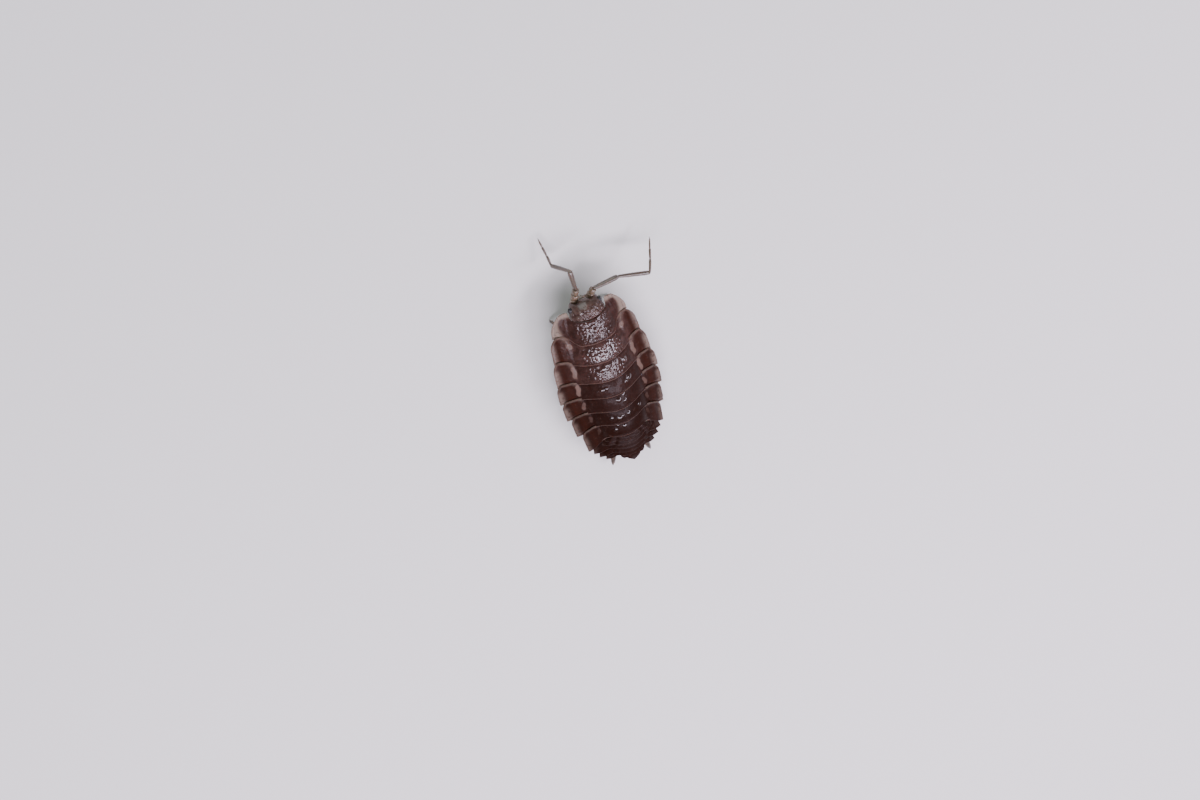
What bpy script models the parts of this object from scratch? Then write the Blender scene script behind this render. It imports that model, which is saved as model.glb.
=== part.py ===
"""A common shiny woodlouse at rest, life size, head towards -Y, tail towards +Y, feet on z = 0.

Every shell plate is first drawn on a straight body, in millimetres: x across, s along the back
from the head's front, d down from the line of the back. The back is then bent into its arch.
"""

import math

import bmesh
import bpy
from mathutils import Matrix, Vector

MM = 0.001
SIDES = {"left": 1, "right": -1}
SHARP_EDGE = math.radians(40)

# The arch of the back, and the tail that dips from it
BACK_HEIGHT = 3.95
BACK_RADIUS = 26.0
BACK_TOP_AT = 5.5
TAIL_FROM = 12.35
TAIL_RADIUS = 8.0

# Across the body: part of the drop is a steep flank, the rest flares out to the rim
FLANK_SHARE = 0.72

# Seven body plates: rear edge on the midline, how far the rear corner lies behind it,
# half width and drop at that corner, and depth of the belly under the back
PLATE_REAR = (3.8, 5.45, 7.05, 8.45, 9.8, 11.1, 12.35)
CORNER_BACK = (-0.9, -0.15, 0.25, 0.5, 0.82, 1.24, 1.6)
HALF_WIDTH = (2.95, 3.42, 3.72, 3.9, 3.8, 3.48, 3.0)
CORNER_DROP = (1.65, 1.9, 2.03, 2.1, 2.0, 1.75, 1.4)
BELLY = (2.3, 2.45, 2.55, 2.55, 2.4, 2.15, 1.85)
CORNER_FROM = 0.42
CORNER_TO = (0.8, 1.0, 1.0, 1.0, 1.0, 1.0, 1.0)

# The back's width and drop just behind the head, and along the tail
NAPE_AT = 0.9
NAPE_HALF_WIDTH = 2.75
NAPE_DROP = 1.35
TAIL_AT = (14.6, 15.1, 15.47, 16.4)
TAIL_SPREAD = (2.75, 2.42, 2.05, 1.7)
TAIL_DROP = (1.15, 0.92, 0.72, 0.5)

# How the body plates overlap like tiles
GAP = 0.2
LIP_THICKNESS = 0.22
LIP_LENGTH = 0.7
FIRST_LIP_LENGTH = 0.95
TUCK = LIP_THICKNESS + GAP
TUCK_SLACK = 0.03
LAP = 0.33
PAST_EDGE = 0.08
FLAP_THICKNESS = 0.3
WALL_FOOT = 0.15
WALL_WIDTH = 0.04
EDGE_WIDTH = 0.08
EDGE_DROP = 0.04
CORNER_ROUND = 0.66
FRONT_CORNER_REACH = 0.5
FRONT_WIDTH_SHARE = 0.8

# Rows from the tucked front to the rear: share of the way, and the sink as a share of the tuck.
# The underside's rows add the flap's thickness as a third share.
TILE_RISE = ((0.0, 1.0), (0.28, 0.42), (0.62, 0.1))
FLAP_RISE = ((0.0, 1.0, 1.0), (0.3, 1.0, 0.8), (0.65, 0.5, 1.0))

# First plate: the seat of the head, and the lobes on both sides of it
SEAT_REAR = 1.92
SEAT_FORWARD = 0.3
SEAT_LAP = 0.5
SEAT_HALF_WIDTH = 1.34
SEAT_STEP = 0.06
LOBE_FRONT = 0.92
LOBE_FROM = 1.62
LOBE_ROUND = 0.35
FIRST_FRONT_HALF_WIDTH = 2.75
FIRST_CORNER_ROUND = 0.7
FIRST_CORNER_REACH = 0.8
FIRST_EDGE = 0.12
FIRST_EDGE_DROP = 0.05
FIRST_ROWS = (0.22, 0.55)

# Five tail plates, of which the first two are narrow and lie between the last side plates
TAIL_REAR = (12.85, 13.3, 13.8, 14.32, 14.82)
TAIL_CORNER_BACK = (0.05, 0.1, 0.85, 0.8, 0.65)
TAIL_HALF_WIDTH = (1.75, 2.02, 2.68, 2.36, 1.95)
TAIL_BELLY = (1.35, 1.2, 1.05, 0.92, 0.82)

# The tail plates meet along slanting faces, with a small step down to each next one
TAIL_GAP = 0.18
TAIL_SLANT = 0.16
TAIL_THICKNESS = 0.34
TAIL_LEAST_LENGTH = 0.15
TAIL_CORNER_ROUND = 0.2
TAIL_NARROWER = 0.12
TAIL_COLUMN_AT = 0.3
TAIL_ROWS = ((0.0, 0.12), (0.35, 0.036), (0.85, 0.0), (1.0, 0.05))
SIDE_PLATE_CLEAR = 0.08

# End plate
TELSON_TIP = 16.0
TELSON_HALF_WIDTH = 1.05
TELSON_SHOULDER = 15.05
TELSON_HOLLOW = 1.5
TELSON_DEPTH = 0.5
TELSON_NARROWS = 0.12

# Stations across a plate, as shares of its half width, and across the tail in millimetres
ACROSS = (0.0, 0.13, 0.26, 0.38, 0.48, 0.6, 0.72, 0.86, 1.0)
ACROSS_FIRST = (0.0, 0.14, 0.28, 0.4, 0.5, 0.6, 0.66, 0.72, 0.79, 0.87, 0.94, 1.0)
ACROSS_TAIL = (0.0, 0.2, 0.45, 0.7, 1.0, 1.3, 1.6, 1.9, 2.2)
BELLY_SHARES = (0.48, 0.6)
TAIL_BELLY_SHARES = (0.25, 0.45)

# Head from above: a low front lobe, two notches over the feelers, two round side lobes
HEAD_FRONT = 0.45
HEAD_HALF_WIDTH = 1.3
HEAD_NECK_HALF_WIDTH = 1.05
HEAD_NECK_FROM = 1.35
HEAD_NECK_END = 2.05
NOTCH_AT = 0.56
NOTCH_DEPTH = 0.14
NOTCH_WIDTH = 0.2
SIDE_LOBE_FROM = 0.85
SIDE_LOBE_BACK = 0.62
SIDE_LOBE_CURVE = 2.2

# Head in profile: its top falls to the sides and the brow, and steps down under the first plate
HEAD_SINK = 0.06
HEAD_SIDE_FALL = 0.3
BROW_FROM = 1.25
BROW_FALL = 0.5
NECK_STEP = (1.59, 1.8)
HEAD_DEPTH = 2.05
CHIN_LIFT = 0.55
CHIN_FROM = 1.25
FACE_NARROWS = 0.18
RIM_BACK = 0.06
RIM_DEPTH = 0.3
FACE_BEHIND_RIM = 0.1
HEAD_ROWS = (0.0, 0.16, 0.38, 0.6, 0.8, 1.0)
FACE_ROWS = ((0.72, 1.0), (0.76, 1.55), (0.94, HEAD_DEPTH), (1.5, HEAD_DEPTH), (2.0, 1.9))
ACROSS_HEAD = (0.0, 0.2, 0.4, 0.56, 0.7, 0.84, 0.94, 1.0)

# On the head: the feelers' sockets, the face's swelling, and the eyes behind the side lobes
SOCKET_AT = (0.5, 0.96, 1.16)
SOCKET_RADII = (0.36, 0.34, 0.36)
FACE_EGG_AT = (0.0, 0.96, 1.82)
FACE_EGG_RADII = (0.66, 0.36, 0.42)
EYE_AT = (1.08, 0.98)
EYE_RADII = (0.19, 0.29, 0.15)
EYE_LEAN = 42.0
EYE_GAP = 0.13
EGG_SEGMENTS = 10
EGG_RINGS = 8

# Legs: plan angle back from straight out and plan length, which differ a little side to side
LEG_SIDES = 6
LEG_ANGLE = {"left": (-16, -14, -6, 5, 20, 32, 46), "right": (-14, -16, -10, 8, 18, 35, 44)}
LEG_REACH = {
    "left": (1.42, 1.46, 1.6, 1.8, 1.98, 2.06, 2.4),
    "right": (1.45, 1.5, 1.62, 1.82, 1.96, 2.1, 2.38),
}
LEG_LIFT = (1.0, 0.98, 0.97, 0.94, 0.9, 0.86, 0.72)
LEG_TURN = 0.25
LEG_ROOT_SHARE = 0.34
LEG_GAP = 0.25
LEG_ARTICLES = (0.0, 0.12, 0.52, 0.66, 0.78, 0.88, 0.97, 1.0)
LEG_HEIGHTS = (1.0, 0.8, 0.96, 0.92, 0.78, 0.56, 0.2, 0.0)
LEG_RADII = (0.28, 0.27, 0.26, 0.26, 0.25, 0.24, 0.2)
FOOT_RADIUS = 0.15

# Feelers: joints as (towards the animal's left, forward of the head's front, height)
FEELER_SIDES = 7
FEELER_GAP = 0.22
KNUCKLE = 0.3
STALK = {
    "left": ((0.56, 0.0, 2.33), (0.48, 0.18, 2.43), (0.37, 0.4, 2.53), (0.24, 0.74, 2.62),
             (0.27, 2.45, 2.95), (1.06, 2.33, 0.95)),
    "right": ((-0.6, 0.09, 2.33), (-0.7, 0.19, 2.43), (-0.83, 0.26, 2.52), (-1.0, 0.32, 2.62),
              (-2.89, 0.44, 2.8), (-5.26, -0.58, 2.3)),
}
STALK_RADII = (0.32, 0.31, 0.3, 0.26, 0.24, 0.24)
WHIP = {
    "left": ((1.11, 3.09, 0.78), (1.2, 3.81, 0.62), (1.27, 4.53, 0.46)),
    "right": ((-5.64, 0.22, 1.95), (-5.9, 0.88, 1.7), (-6.2, 1.62, 1.4)),
}
WHIP_RADII = (0.24, 0.2, 0.15)
WHIP_TIP = 0.08

# An article of a limb: thinner at its joints, full between these shares of its length
JOINT_WAIST = 0.9
ROOT_WAIST = 0.92
ARTICLE_FULL = (0.3, 0.76)
LAST_TAPER = 0.7
LONG_ARTICLE = 1.7

# Tail limbs on the straight body: the outer blade and the slim inner one
UROPOD_SIDES = 6
UROPOD_TIP = 0.1
UROPODS = {
    "outer": ((1.1, 14.8, 1.22), (1.24, 15.35, 1.0), (1.36, 15.8, 0.78), (1.52, 16.85, 0.46)),
    "inner": ((0.38, 14.98, 1.12), (0.42, 15.6, 0.94), (0.48, 16.35, 0.76)),
}
UROPOD_RADII = {"outer": (0.25, 0.24, 0.22), "inner": (0.2, 0.18)}

# Jaws' pad and gill plates
JAWS_AT = (0.0, 1.4, 2.57)
JAWS_RADII = (0.56, 0.6, 0.2)
JAWS_RINGS = 6
GILL_STATIONS = (12.75, 13.2, 13.65, 14.1, 14.6)
GILL_HALF_WIDTHS = (1.05, 0.66)
GILL_ROOF = (1.58, 1.12)
GILL_THICKNESS = 0.36
GILL_RIM_THINNER = 0.1
ACROSS_GILLS = (0.0, 0.5, 0.85, 1.0)

# Base colour and roughness of each material
MATERIALS = {
    "shell": ((0.062, 0.036, 0.033), 0.28),
    "head": ((0.055, 0.036, 0.034), 0.36),
    "eye": ((0.008, 0.007, 0.007), 0.15),
    "leg": ((0.3, 0.25, 0.2), 0.4),
    "feeler": ((0.16, 0.12, 0.1), 0.38),
    "jaws": ((0.33, 0.26, 0.19), 0.4),
    "gill": ((0.42, 0.37, 0.3), 0.35),
}


def clear_scene():
    for obj in list(bpy.data.objects):
        bpy.data.objects.remove(obj)


def make_material(name, colour, roughness):
    material = bpy.data.materials.new(name)
    material.use_nodes = True
    shader = material.node_tree.nodes["Principled BSDF"]
    shader.inputs["Base Color"].default_value = (*colour, 1.0)
    shader.inputs["Roughness"].default_value = roughness
    shader.inputs["Metallic"].default_value = 0.0
    return material


def blend(low, high, share):
    return low + (high - low) * share


def clamp(value):
    return min(1.0, max(0.0, value))


def smooth_step(start, end, value):
    share = clamp((value - start) / (end - start))
    return share * share * (3.0 - 2.0 * share)


def read_between(stations, values, at):
    """Value at a place between stations, which rise."""
    if at <= stations[0]:
        return values[0]
    for low, high, first, second in zip(stations, stations[1:], values, values[1:]):
        if at <= high:
            return blend(first, second, (at - low) / (high - low))
    return values[-1]


RIM_AT = (NAPE_AT, *(rear + back for rear, back in zip(PLATE_REAR, CORNER_BACK)), *TAIL_AT)


def half_width_at(s):
    return read_between(RIM_AT, (NAPE_HALF_WIDTH, *HALF_WIDTH, *TAIL_SPREAD), s)


def drop_at(s):
    return read_between(RIM_AT, (NAPE_DROP, *CORNER_DROP, *TAIL_DROP), s)


def cross_profile(share):
    """Share of the drop at a share of the half width: steep on the flank, flared at the rim."""
    return FLANK_SHARE * math.sin(0.5 * math.pi * share) ** 2 + (1.0 - FLANK_SHARE) * share * share


def surface(x, s, inward):
    """Point on the back's common surface, moved inward along its normal across the body."""
    wide = half_width_at(s)
    share = min(1.0, abs(x) / wide)
    step = 0.01
    rise = (cross_profile(share + step) - cross_profile(share - step)) / (2.0 * step)
    slope = math.atan(rise * drop_at(s) / wide)
    sign = math.copysign(1.0, x) if x else 0.0
    depth = drop_at(s) * cross_profile(share)
    return (x - sign * inward * math.sin(slope), s, depth + inward * math.cos(slope))


def bend(point, with_tail=True):
    """From the straight body to the arched one, in millimetres."""
    x, s, d = point
    on_back = min(s, TAIL_FROM) if with_tail else s
    turn = (on_back - BACK_TOP_AT) / BACK_RADIUS
    y = BACK_RADIUS * math.sin(turn)
    z = BACK_HEIGHT - BACK_RADIUS * (1.0 - math.cos(turn))
    if s > on_back:
        more = (s - on_back) / TAIL_RADIUS
        y += TAIL_RADIUS * (math.sin(turn + more) - math.sin(turn))
        z -= TAIL_RADIUS * (math.cos(turn) - math.cos(turn + more))
        turn += more
    return Vector((x, y - d * math.sin(turn), z - d * math.cos(turn)))


def add_object(name, build, material):
    """An object from a bmesh in millimetres, its faces turned outward; the bmesh is freed."""
    bmesh.ops.scale(build, vec=(MM, MM, MM), verts=build.verts)
    bmesh.ops.recalc_face_normals(build, faces=build.faces)
    mesh = bpy.data.meshes.new(name)
    build.to_mesh(mesh)
    build.free()
    mesh.materials.append(material)
    mesh.shade_smooth()
    mesh.set_sharp_from_angle(angle=SHARP_EDGE)
    obj = bpy.data.objects.new(name, mesh)
    bpy.context.scene.collection.objects.link(obj)
    return obj


def border_steps(rows, columns):
    """Each edge round a grid, as two (row, column) places."""
    for row in (0, rows - 1):
        for column in range(columns - 1):
            yield (row, column), (row, column + 1)
    for column in (0, columns - 1):
        for row in range(rows - 1):
            yield (row, column), (row + 1, column)


def grid_solid(name, columns, material):
    """A closed solid from columns across the body, each the points of its top and of its underside.

    Both faces and the rim are split into triangles alike, mirrored at the midline.
    """
    build = bmesh.new()
    top, under = [[[build.verts.new(point) for point in points] for points in side] for side in zip(*columns)]
    middle = (len(columns) - 1) / 2
    for grid in (top, under):
        for column in range(len(columns) - 1):
            for row in range(len(grid[0]) - 1):
                a, b = grid[column][row], grid[column + 1][row]
                c, d = grid[column + 1][row + 1], grid[column][row + 1]
                halves = ((a, b, c), (a, c, d)) if column < middle else ((a, b, d), (b, c, d))
                for half in halves:
                    build.faces.new(half)
    for near, far in border_steps(len(top[0]), len(columns)):
        if far[1] > middle:
            near, far = far, near
        a, b = top[near[1]][near[0]], top[far[1]][far[0]]
        c, d = under[far[1]][far[0]], under[near[1]][near[0]]
        build.faces.new((a, b, c))
        build.faces.new((a, c, d))
    return add_object(name, build, material)


def shares_across(shares):
    """The same places on both sides of the midline; None stands for the rim."""
    return [share if share is None else -share for share in reversed(shares[1:])] + list(shares)


def rear_edge(rear, back, half_width, to=1.0):
    """Rear edge of a plate as a function of x: straight in the middle, its corners set back or forward."""
    return lambda x: rear + back * smooth_step(CORNER_FROM, to, min(1.0, abs(x) / half_width))


def rounded_rim(front_half, rear_half, rounding, reach):
    """Half width along a plate: its front corners are rounded off, its rear ones are not."""
    def rim(share):
        share = clamp(share)
        short = max(0.0, 1.0 - share / reach)
        return blend(front_half, rear_half, share) - rounding * short * short
    return rim


def belly_or_flap(x, s, share, flap, belly, belly_shares):
    """Underside: a flat belly in the middle, then up to the thin side flap."""
    flat, edge = belly_shares
    x_flap, _, d_flap = surface(x, s, flap)
    mix = clamp((edge - abs(share)) / (edge - flat))
    return (blend(x_flap, x, mix), s, blend(d_flap, belly, mix))


def plate_column(share, rim, over, below, belly):
    """Points of a body plate's top and underside from (s, sink) and (s, sink, whether belly)."""
    start = over[0][0]
    end = over[-1][0]

    def across(s):
        return share * rim((s - start) / (end - start))

    top = [bend(surface(across(s), s, sink), with_tail=False) for s, sink in over]
    under = []
    for s, sink, is_belly in below:
        if is_belly:
            point = belly_or_flap(across(s), s, share, sink, belly, BELLY_SHARES)
        else:
            point = surface(across(s), s, sink)
        under.append(bend(point, with_tail=False))
    return top, under


def lip_rows(end, length=LIP_LENGTH):
    """The last rows of a plate: its rounded rear edge above, the wall and the thin lip below."""
    inner = end - length
    over = [(end - EDGE_WIDTH, 0.0), (end, EDGE_DROP)]
    wall = (inner - WALL_WIDTH, LIP_THICKNESS + WALL_FOOT, True)
    return over, [wall, (inner, LIP_THICKNESS, False), (end, LIP_THICKNESS, False)]


def tile_plate(name, edge_before, rear, rim, belly, material):
    """A plate that tucks its front under the plate before it and laps over the next with a thin lip.

    edge_before and rear give s at an x, rim gives the half width at a share of the plate's length.
    """
    columns = []
    for share in shares_across(ACROSS):
        start = edge_before(share * rim(0.0)) - LAP
        border = edge_before(share * rim(FRONT_CORNER_REACH)) + PAST_EDGE
        end = rear(share * rim(1.0))
        over = [(start, TUCK + TUCK_SLACK)]
        over += [(blend(border, end, along), TUCK * sunk) for along, sunk in TILE_RISE]
        below = [(blend(start, end - LIP_LENGTH, along), TUCK * sunk + FLAP_THICKNESS * thick, True)
                 for along, sunk, thick in FLAP_RISE]
        lip_over, lip_below = lip_rows(end)
        columns.append(plate_column(share, rim, over + lip_over, below + lip_below, belly))
    return grid_solid(name, columns, material)


def head_seat(x):
    """Front edge of the first plate: a seat for the head between two round forward lobes."""
    seat = SEAT_REAR - SEAT_FORWARD * min(1.0, abs(x) / SEAT_HALF_WIDTH) ** 2
    lobe = LOBE_FRONT + LOBE_ROUND * max(0.0, abs(x) - LOBE_FROM) ** 2
    return blend(seat, lobe, smooth_step(SEAT_HALF_WIDTH, LOBE_FROM, abs(x)))


def build_first_plate(rear, material):
    """The plate behind the head, with a thin front lip over the neck."""
    rim = rounded_rim(FIRST_FRONT_HALF_WIDTH, HALF_WIDTH[0], FIRST_CORNER_ROUND, FIRST_CORNER_REACH)
    columns = []
    for share in shares_across(ACROSS_FIRST):
        start = head_seat(share * rim(0.0))
        end = rear(share * rim(1.0))
        neck = start + SEAT_LAP
        over = [(start, FIRST_EDGE_DROP), (start + FIRST_EDGE, 0.0)]
        over += [(blend(start, end, along), 0.0) for along in FIRST_ROWS]
        below = [(start, LIP_THICKNESS, False), (neck, LIP_THICKNESS, False)]
        below.append((neck + SEAT_STEP, FLAP_THICKNESS, True))
        lip_over, lip_below = lip_rows(end, FIRST_LIP_LENGTH)
        columns.append(plate_column(share, rim, over + lip_over, below + lip_below, BELLY[0]))
    return grid_solid("pereonite_1", columns, material)


def build_body_plates(material):
    """The seven plates that carry legs; returns the rear edge of the last."""
    edge_before = rear_edge(PLATE_REAR[0], CORNER_BACK[0], HALF_WIDTH[0], CORNER_TO[0])
    build_first_plate(edge_before, material)
    for number in range(1, len(PLATE_REAR)):
        rear = rear_edge(PLATE_REAR[number], CORNER_BACK[number], HALF_WIDTH[number], CORNER_TO[number])
        front_half = blend(HALF_WIDTH[number - 1], HALF_WIDTH[number], FRONT_WIDTH_SHARE)
        rim = rounded_rim(front_half, HALF_WIDTH[number], CORNER_ROUND, FRONT_CORNER_REACH)
        tile_plate(f"pereonite_{number + 1}", edge_before, rear, rim, BELLY[number], material)
        edge_before = rear
    return edge_before


def slanted_plate(name, edge_before, rear, rim, belly, material):
    """A plate that meets the one before it along a face slanting forward and down.

    All tail plates share the same places across, so that the faces that meet are parallel.
    """
    inside = [x for x in ACROSS_TAIL if x < rim(0.0) - TAIL_NARROWER]
    places = shares_across(inside + [None])
    columns = []
    for number, place in enumerate(places):
        side = -1.0 if number < len(places) / 2 else 1.0
        x_mid = side * rim(TAIL_COLUMN_AT) if place is None else place
        start = edge_before(x_mid) + TAIL_GAP
        end = max(rear(x_mid), start + TAIL_LEAST_LENGTH)
        top = []
        under = []
        for along, sink in TAIL_ROWS:
            s = blend(start, end, along)
            x = side * rim(along) if place is None else place
            top.append(bend(surface(x, s, sink)))
            share = x / rim(1.0)
            low = belly_or_flap(x, s - TAIL_SLANT, share, TAIL_THICKNESS, belly, TAIL_BELLY_SHARES)
            under.append(bend(low))
        columns.append((top, under))
    return grid_solid(name, columns, material)


def behind_both(edge_before, side_plates):
    """Front limit of a tail plate: behind the plate before it and behind the last side plates."""
    return lambda x: max(edge_before(x), side_plates(x) + SIDE_PLATE_CLEAR)


def build_tail_plates(side_plates, material):
    """Five short plates; the last three end in pointed side lobes that carry the outline on."""
    edge_before = side_plates
    for number, rear_s in enumerate(TAIL_REAR):
        half = TAIL_HALF_WIDTH[number]
        rear = rear_edge(rear_s, TAIL_CORNER_BACK[number], half)
        rim = rounded_rim(half - TAIL_NARROWER, half, TAIL_CORNER_ROUND, FRONT_CORNER_REACH)
        front = behind_both(edge_before, side_plates)
        slanted_plate(f"pleonite_{number + 1}", front, rear, rim, TAIL_BELLY[number], material)
        edge_before = rear
    return edge_before


def build_telson(edge_before, material):
    """The end plate: a triangle with hollow sides and a blunt point."""
    def rear(x):
        point = max(0.0, 1.0 - abs(x) / TELSON_HALF_WIDTH) ** TELSON_HOLLOW
        return blend(TELSON_SHOULDER, TELSON_TIP, point)

    def rim(along):
        return TELSON_HALF_WIDTH * (1.0 - TELSON_NARROWS * along)

    slanted_plate("telson", edge_before, rear, rim, TELSON_DEPTH, material)


def add_egg(name, centre, radii, material, rings=EGG_RINGS, lean=0.0):
    """An egg shape drawn on the straight body; lean turns it outward, in degrees."""
    build = bmesh.new()
    turn = Matrix.Rotation(math.radians(lean), 4, "Y")
    place = Matrix.Translation(centre) @ turn @ Matrix.Diagonal((*radii, 1.0))
    bmesh.ops.create_uvsphere(build, u_segments=EGG_SEGMENTS, v_segments=rings, radius=1.0, matrix=place)
    for vert in build.verts:
        vert.co = bend(vert.co)
    return add_object(name, build, material)


def largest_shell(obj):
    """Keeps the largest closed surface of an object's mesh."""
    build = bmesh.new()
    build.from_mesh(obj.data)
    left = set(build.verts)
    shells = []
    while left:
        shell = set()
        edge = [left.pop()]
        while edge:
            vert = edge.pop()
            shell.add(vert)
            for other in (link.other_vert(vert) for link in vert.link_edges):
                if other in left:
                    left.remove(other)
                    edge.append(other)
        shells.append(shell)
    keep = max(shells, key=len)
    bmesh.ops.delete(build, geom=[vert for vert in build.verts if vert not in keep], context="VERTS")
    build.to_mesh(obj.data)
    build.free()


def combine(target, others, operation):
    """One Boolean of the target with a collection of closed meshes, applied; the helpers go."""
    helpers = bpy.data.collections.new("helpers")
    bpy.context.scene.collection.children.link(helpers)
    for obj in others:
        bpy.context.scene.collection.objects.unlink(obj)
        helpers.objects.link(obj)
    boolean = target.modifiers.new("Combine", "BOOLEAN")
    boolean.operation = operation
    boolean.operand_type = "COLLECTION"
    boolean.collection = helpers
    boolean.solver = "EXACT"
    bpy.context.view_layer.objects.active = target
    bpy.ops.object.modifier_apply(modifier=boolean.name)
    for obj in others:
        bpy.data.objects.remove(obj)
    bpy.data.collections.remove(helpers)
    largest_shell(target)
    target.data.shade_smooth()
    target.data.set_sharp_from_angle(angle=SHARP_EDGE)


def head_front(x):
    """Front edge of the head seen from above."""
    far = abs(x)
    notch = NOTCH_DEPTH * math.exp(-((far - NOTCH_AT) / NOTCH_WIDTH) ** 2)
    beyond = max(0.0, (far - SIDE_LOBE_FROM) / (HEAD_HALF_WIDTH - SIDE_LOBE_FROM))
    return HEAD_FRONT + notch + SIDE_LOBE_BACK * beyond ** SIDE_LOBE_CURVE


def head_top(x, s):
    """Top of the head: level with the first plate behind, rounded off to the sides and the front."""
    x_on, s_on, depth = surface(x, s, HEAD_SINK)
    side_fall = HEAD_SIDE_FALL * (abs(x) / HEAD_HALF_WIDTH) ** 3.0
    neck = smooth_step(*NECK_STEP, s + SEAT_FORWARD * (x / SEAT_HALF_WIDTH) ** 2)
    depth += blend(side_fall, TUCK, neck)
    depth += BROW_FALL * max(0.0, (BROW_FROM - s) / (BROW_FROM - HEAD_FRONT)) ** 2
    return (x_on, s_on, depth)


def face_point(share, half, front, along, row):
    """Point of the steep face and the throat, narrower and higher towards the cheeks."""
    face_s, face_depth = row
    narrow = 1.0 - FACE_NARROWS * face_depth / HEAD_DEPTH
    low = face_depth - (face_depth - CHIN_FROM) * CHIN_LIFT * abs(share) ** 3
    back = face_s + (front - HEAD_FRONT) * (1.0 - along)
    return (share * half * narrow, max(back, front + FACE_BEHIND_RIM), low)


def build_head_shield(material):
    """The head's shell: its top, the short neck under the first plate, and the steep face below."""
    columns = []
    for share in shares_across(ACROSS_HEAD):
        front = head_front(share * HEAD_HALF_WIDTH)
        top = []
        under = []
        for along, row in zip(HEAD_ROWS, (None, *FACE_ROWS)):
            s = blend(front, HEAD_NECK_END, along)
            half = blend(HEAD_HALF_WIDTH, HEAD_NECK_HALF_WIDTH, smooth_step(HEAD_NECK_FROM, SEAT_REAR, s))
            x, s, depth = head_top(share * half, s)
            top.append(bend((x, s, depth)))
            if row:
                under.append(bend(face_point(share, half, front, along, row)))
            else:
                under.append(bend((x, s + RIM_BACK, depth + RIM_DEPTH)))
        columns.append((top, under))
    return grid_solid("head", columns, material)


def build_head(materials):
    """The head with the feelers' sockets, the face and the seats of the eyes; the eyes on their own."""
    head = build_head_shield(materials["head"])
    pieces = [add_egg("face", FACE_EGG_AT, FACE_EGG_RADII, materials["head"])]
    for side in SIDES.values():
        centre = (side * SOCKET_AT[0], SOCKET_AT[1], SOCKET_AT[2])
        pieces.append(add_egg("socket", centre, SOCKET_RADII, materials["head"]))
    combine(head, pieces, "UNION")
    seats = []
    for side_name, side in SIDES.items():
        centre = head_top(side * EYE_AT[0], EYE_AT[1])
        seat_radii = [radius + EYE_GAP for radius in EYE_RADII]
        lean = -side * EYE_LEAN
        seats.append(add_egg("seat", centre, seat_radii, materials["head"], lean=lean))
        add_egg(f"eye_{side_name}", centre, EYE_RADII, materials["eye"], lean=lean)
    combine(head, seats, "DIFFERENCE")


def rings_along(joints, radii, end_radius):
    """Ring centres, directions and radii along jointed articles: each swells and narrows at its joints."""
    ways = [(after - before).normalized() for before, after in zip(joints, joints[1:])]
    rings = [(joints[0], ways[0], ROOT_WAIST * radii[0])]
    for number, (start, end, radius) in enumerate(zip(joints, joints[1:], radii)):
        way = ways[number]
        if number:
            between = (ways[number - 1] + way).normalized()
            rings.append((start, between, JOINT_WAIST * min(radius, radii[number - 1])))
        if (end - start).length > LONG_ARTICLE * radius:
            is_last = number == len(radii) - 1
            far_radius = blend(radius, end_radius, LAST_TAPER) if is_last else radius
            rings.append((start.lerp(end, ARTICLE_FULL[0]), way, radius))
            rings.append((start.lerp(end, ARTICLE_FULL[1]), way, far_radius))
    rings.append((joints[-1], ways[-1], end_radius))
    return rings


def ring_edges(ring):
    """The edges round one ring of vertices."""
    return {edge for vert in ring for edge in vert.link_edges if edge.other_vert(vert) in ring}


def add_limb(name, joints, radii, end_radius, sides, material, end_way=None):
    """A jointed limb as a row of bridged circles, closed at both ends; end_way turns its end faces."""
    rings = rings_along([Vector(joint) for joint in joints], radii, end_radius)
    if end_way:
        rings[0] = (rings[0][0], Vector(end_way), rings[0][2])
        rings[-1] = (rings[-1][0], Vector(end_way), rings[-1][2])
    build = bmesh.new()
    way_before = rings[0][1]
    across = way_before.orthogonal().normalized()
    ring_before = None
    for number, (centre, way, radius) in enumerate(rings):
        across = way_before.rotation_difference(way) @ across
        across = (across - way * across.dot(way)).normalized()
        way_before = way
        turn = Matrix((across, way.cross(across), way)).transposed().to_4x4()
        is_end = number in (0, len(rings) - 1)
        made = bmesh.ops.create_circle(build, cap_ends=is_end, segments=sides, radius=radius,
                                       matrix=Matrix.Translation(centre) @ turn)
        ring = set(made["verts"])
        if ring_before:
            bmesh.ops.bridge_loops(build, edges=list(ring_edges(ring_before) | ring_edges(ring)))
        ring_before = ring
    return add_object(name, build, material)


def leg_joints(root, side, angle, reach, lift):
    """Joints of one leg, from its root under the belly to the floor; it turns a little as it goes out."""
    joints = []
    for number, (share, height) in enumerate(zip(LEG_ARTICLES, LEG_HEIGHTS)):
        sweep = angle * (1.0 - LEG_TURN + LEG_TURN * share)
        raised = height * (lift if number else 1.0)
        joints.append((root.x + side * reach * share * math.cos(sweep),
                       root.y + reach * share * math.sin(sweep), root.z * raised))
    return joints


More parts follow.
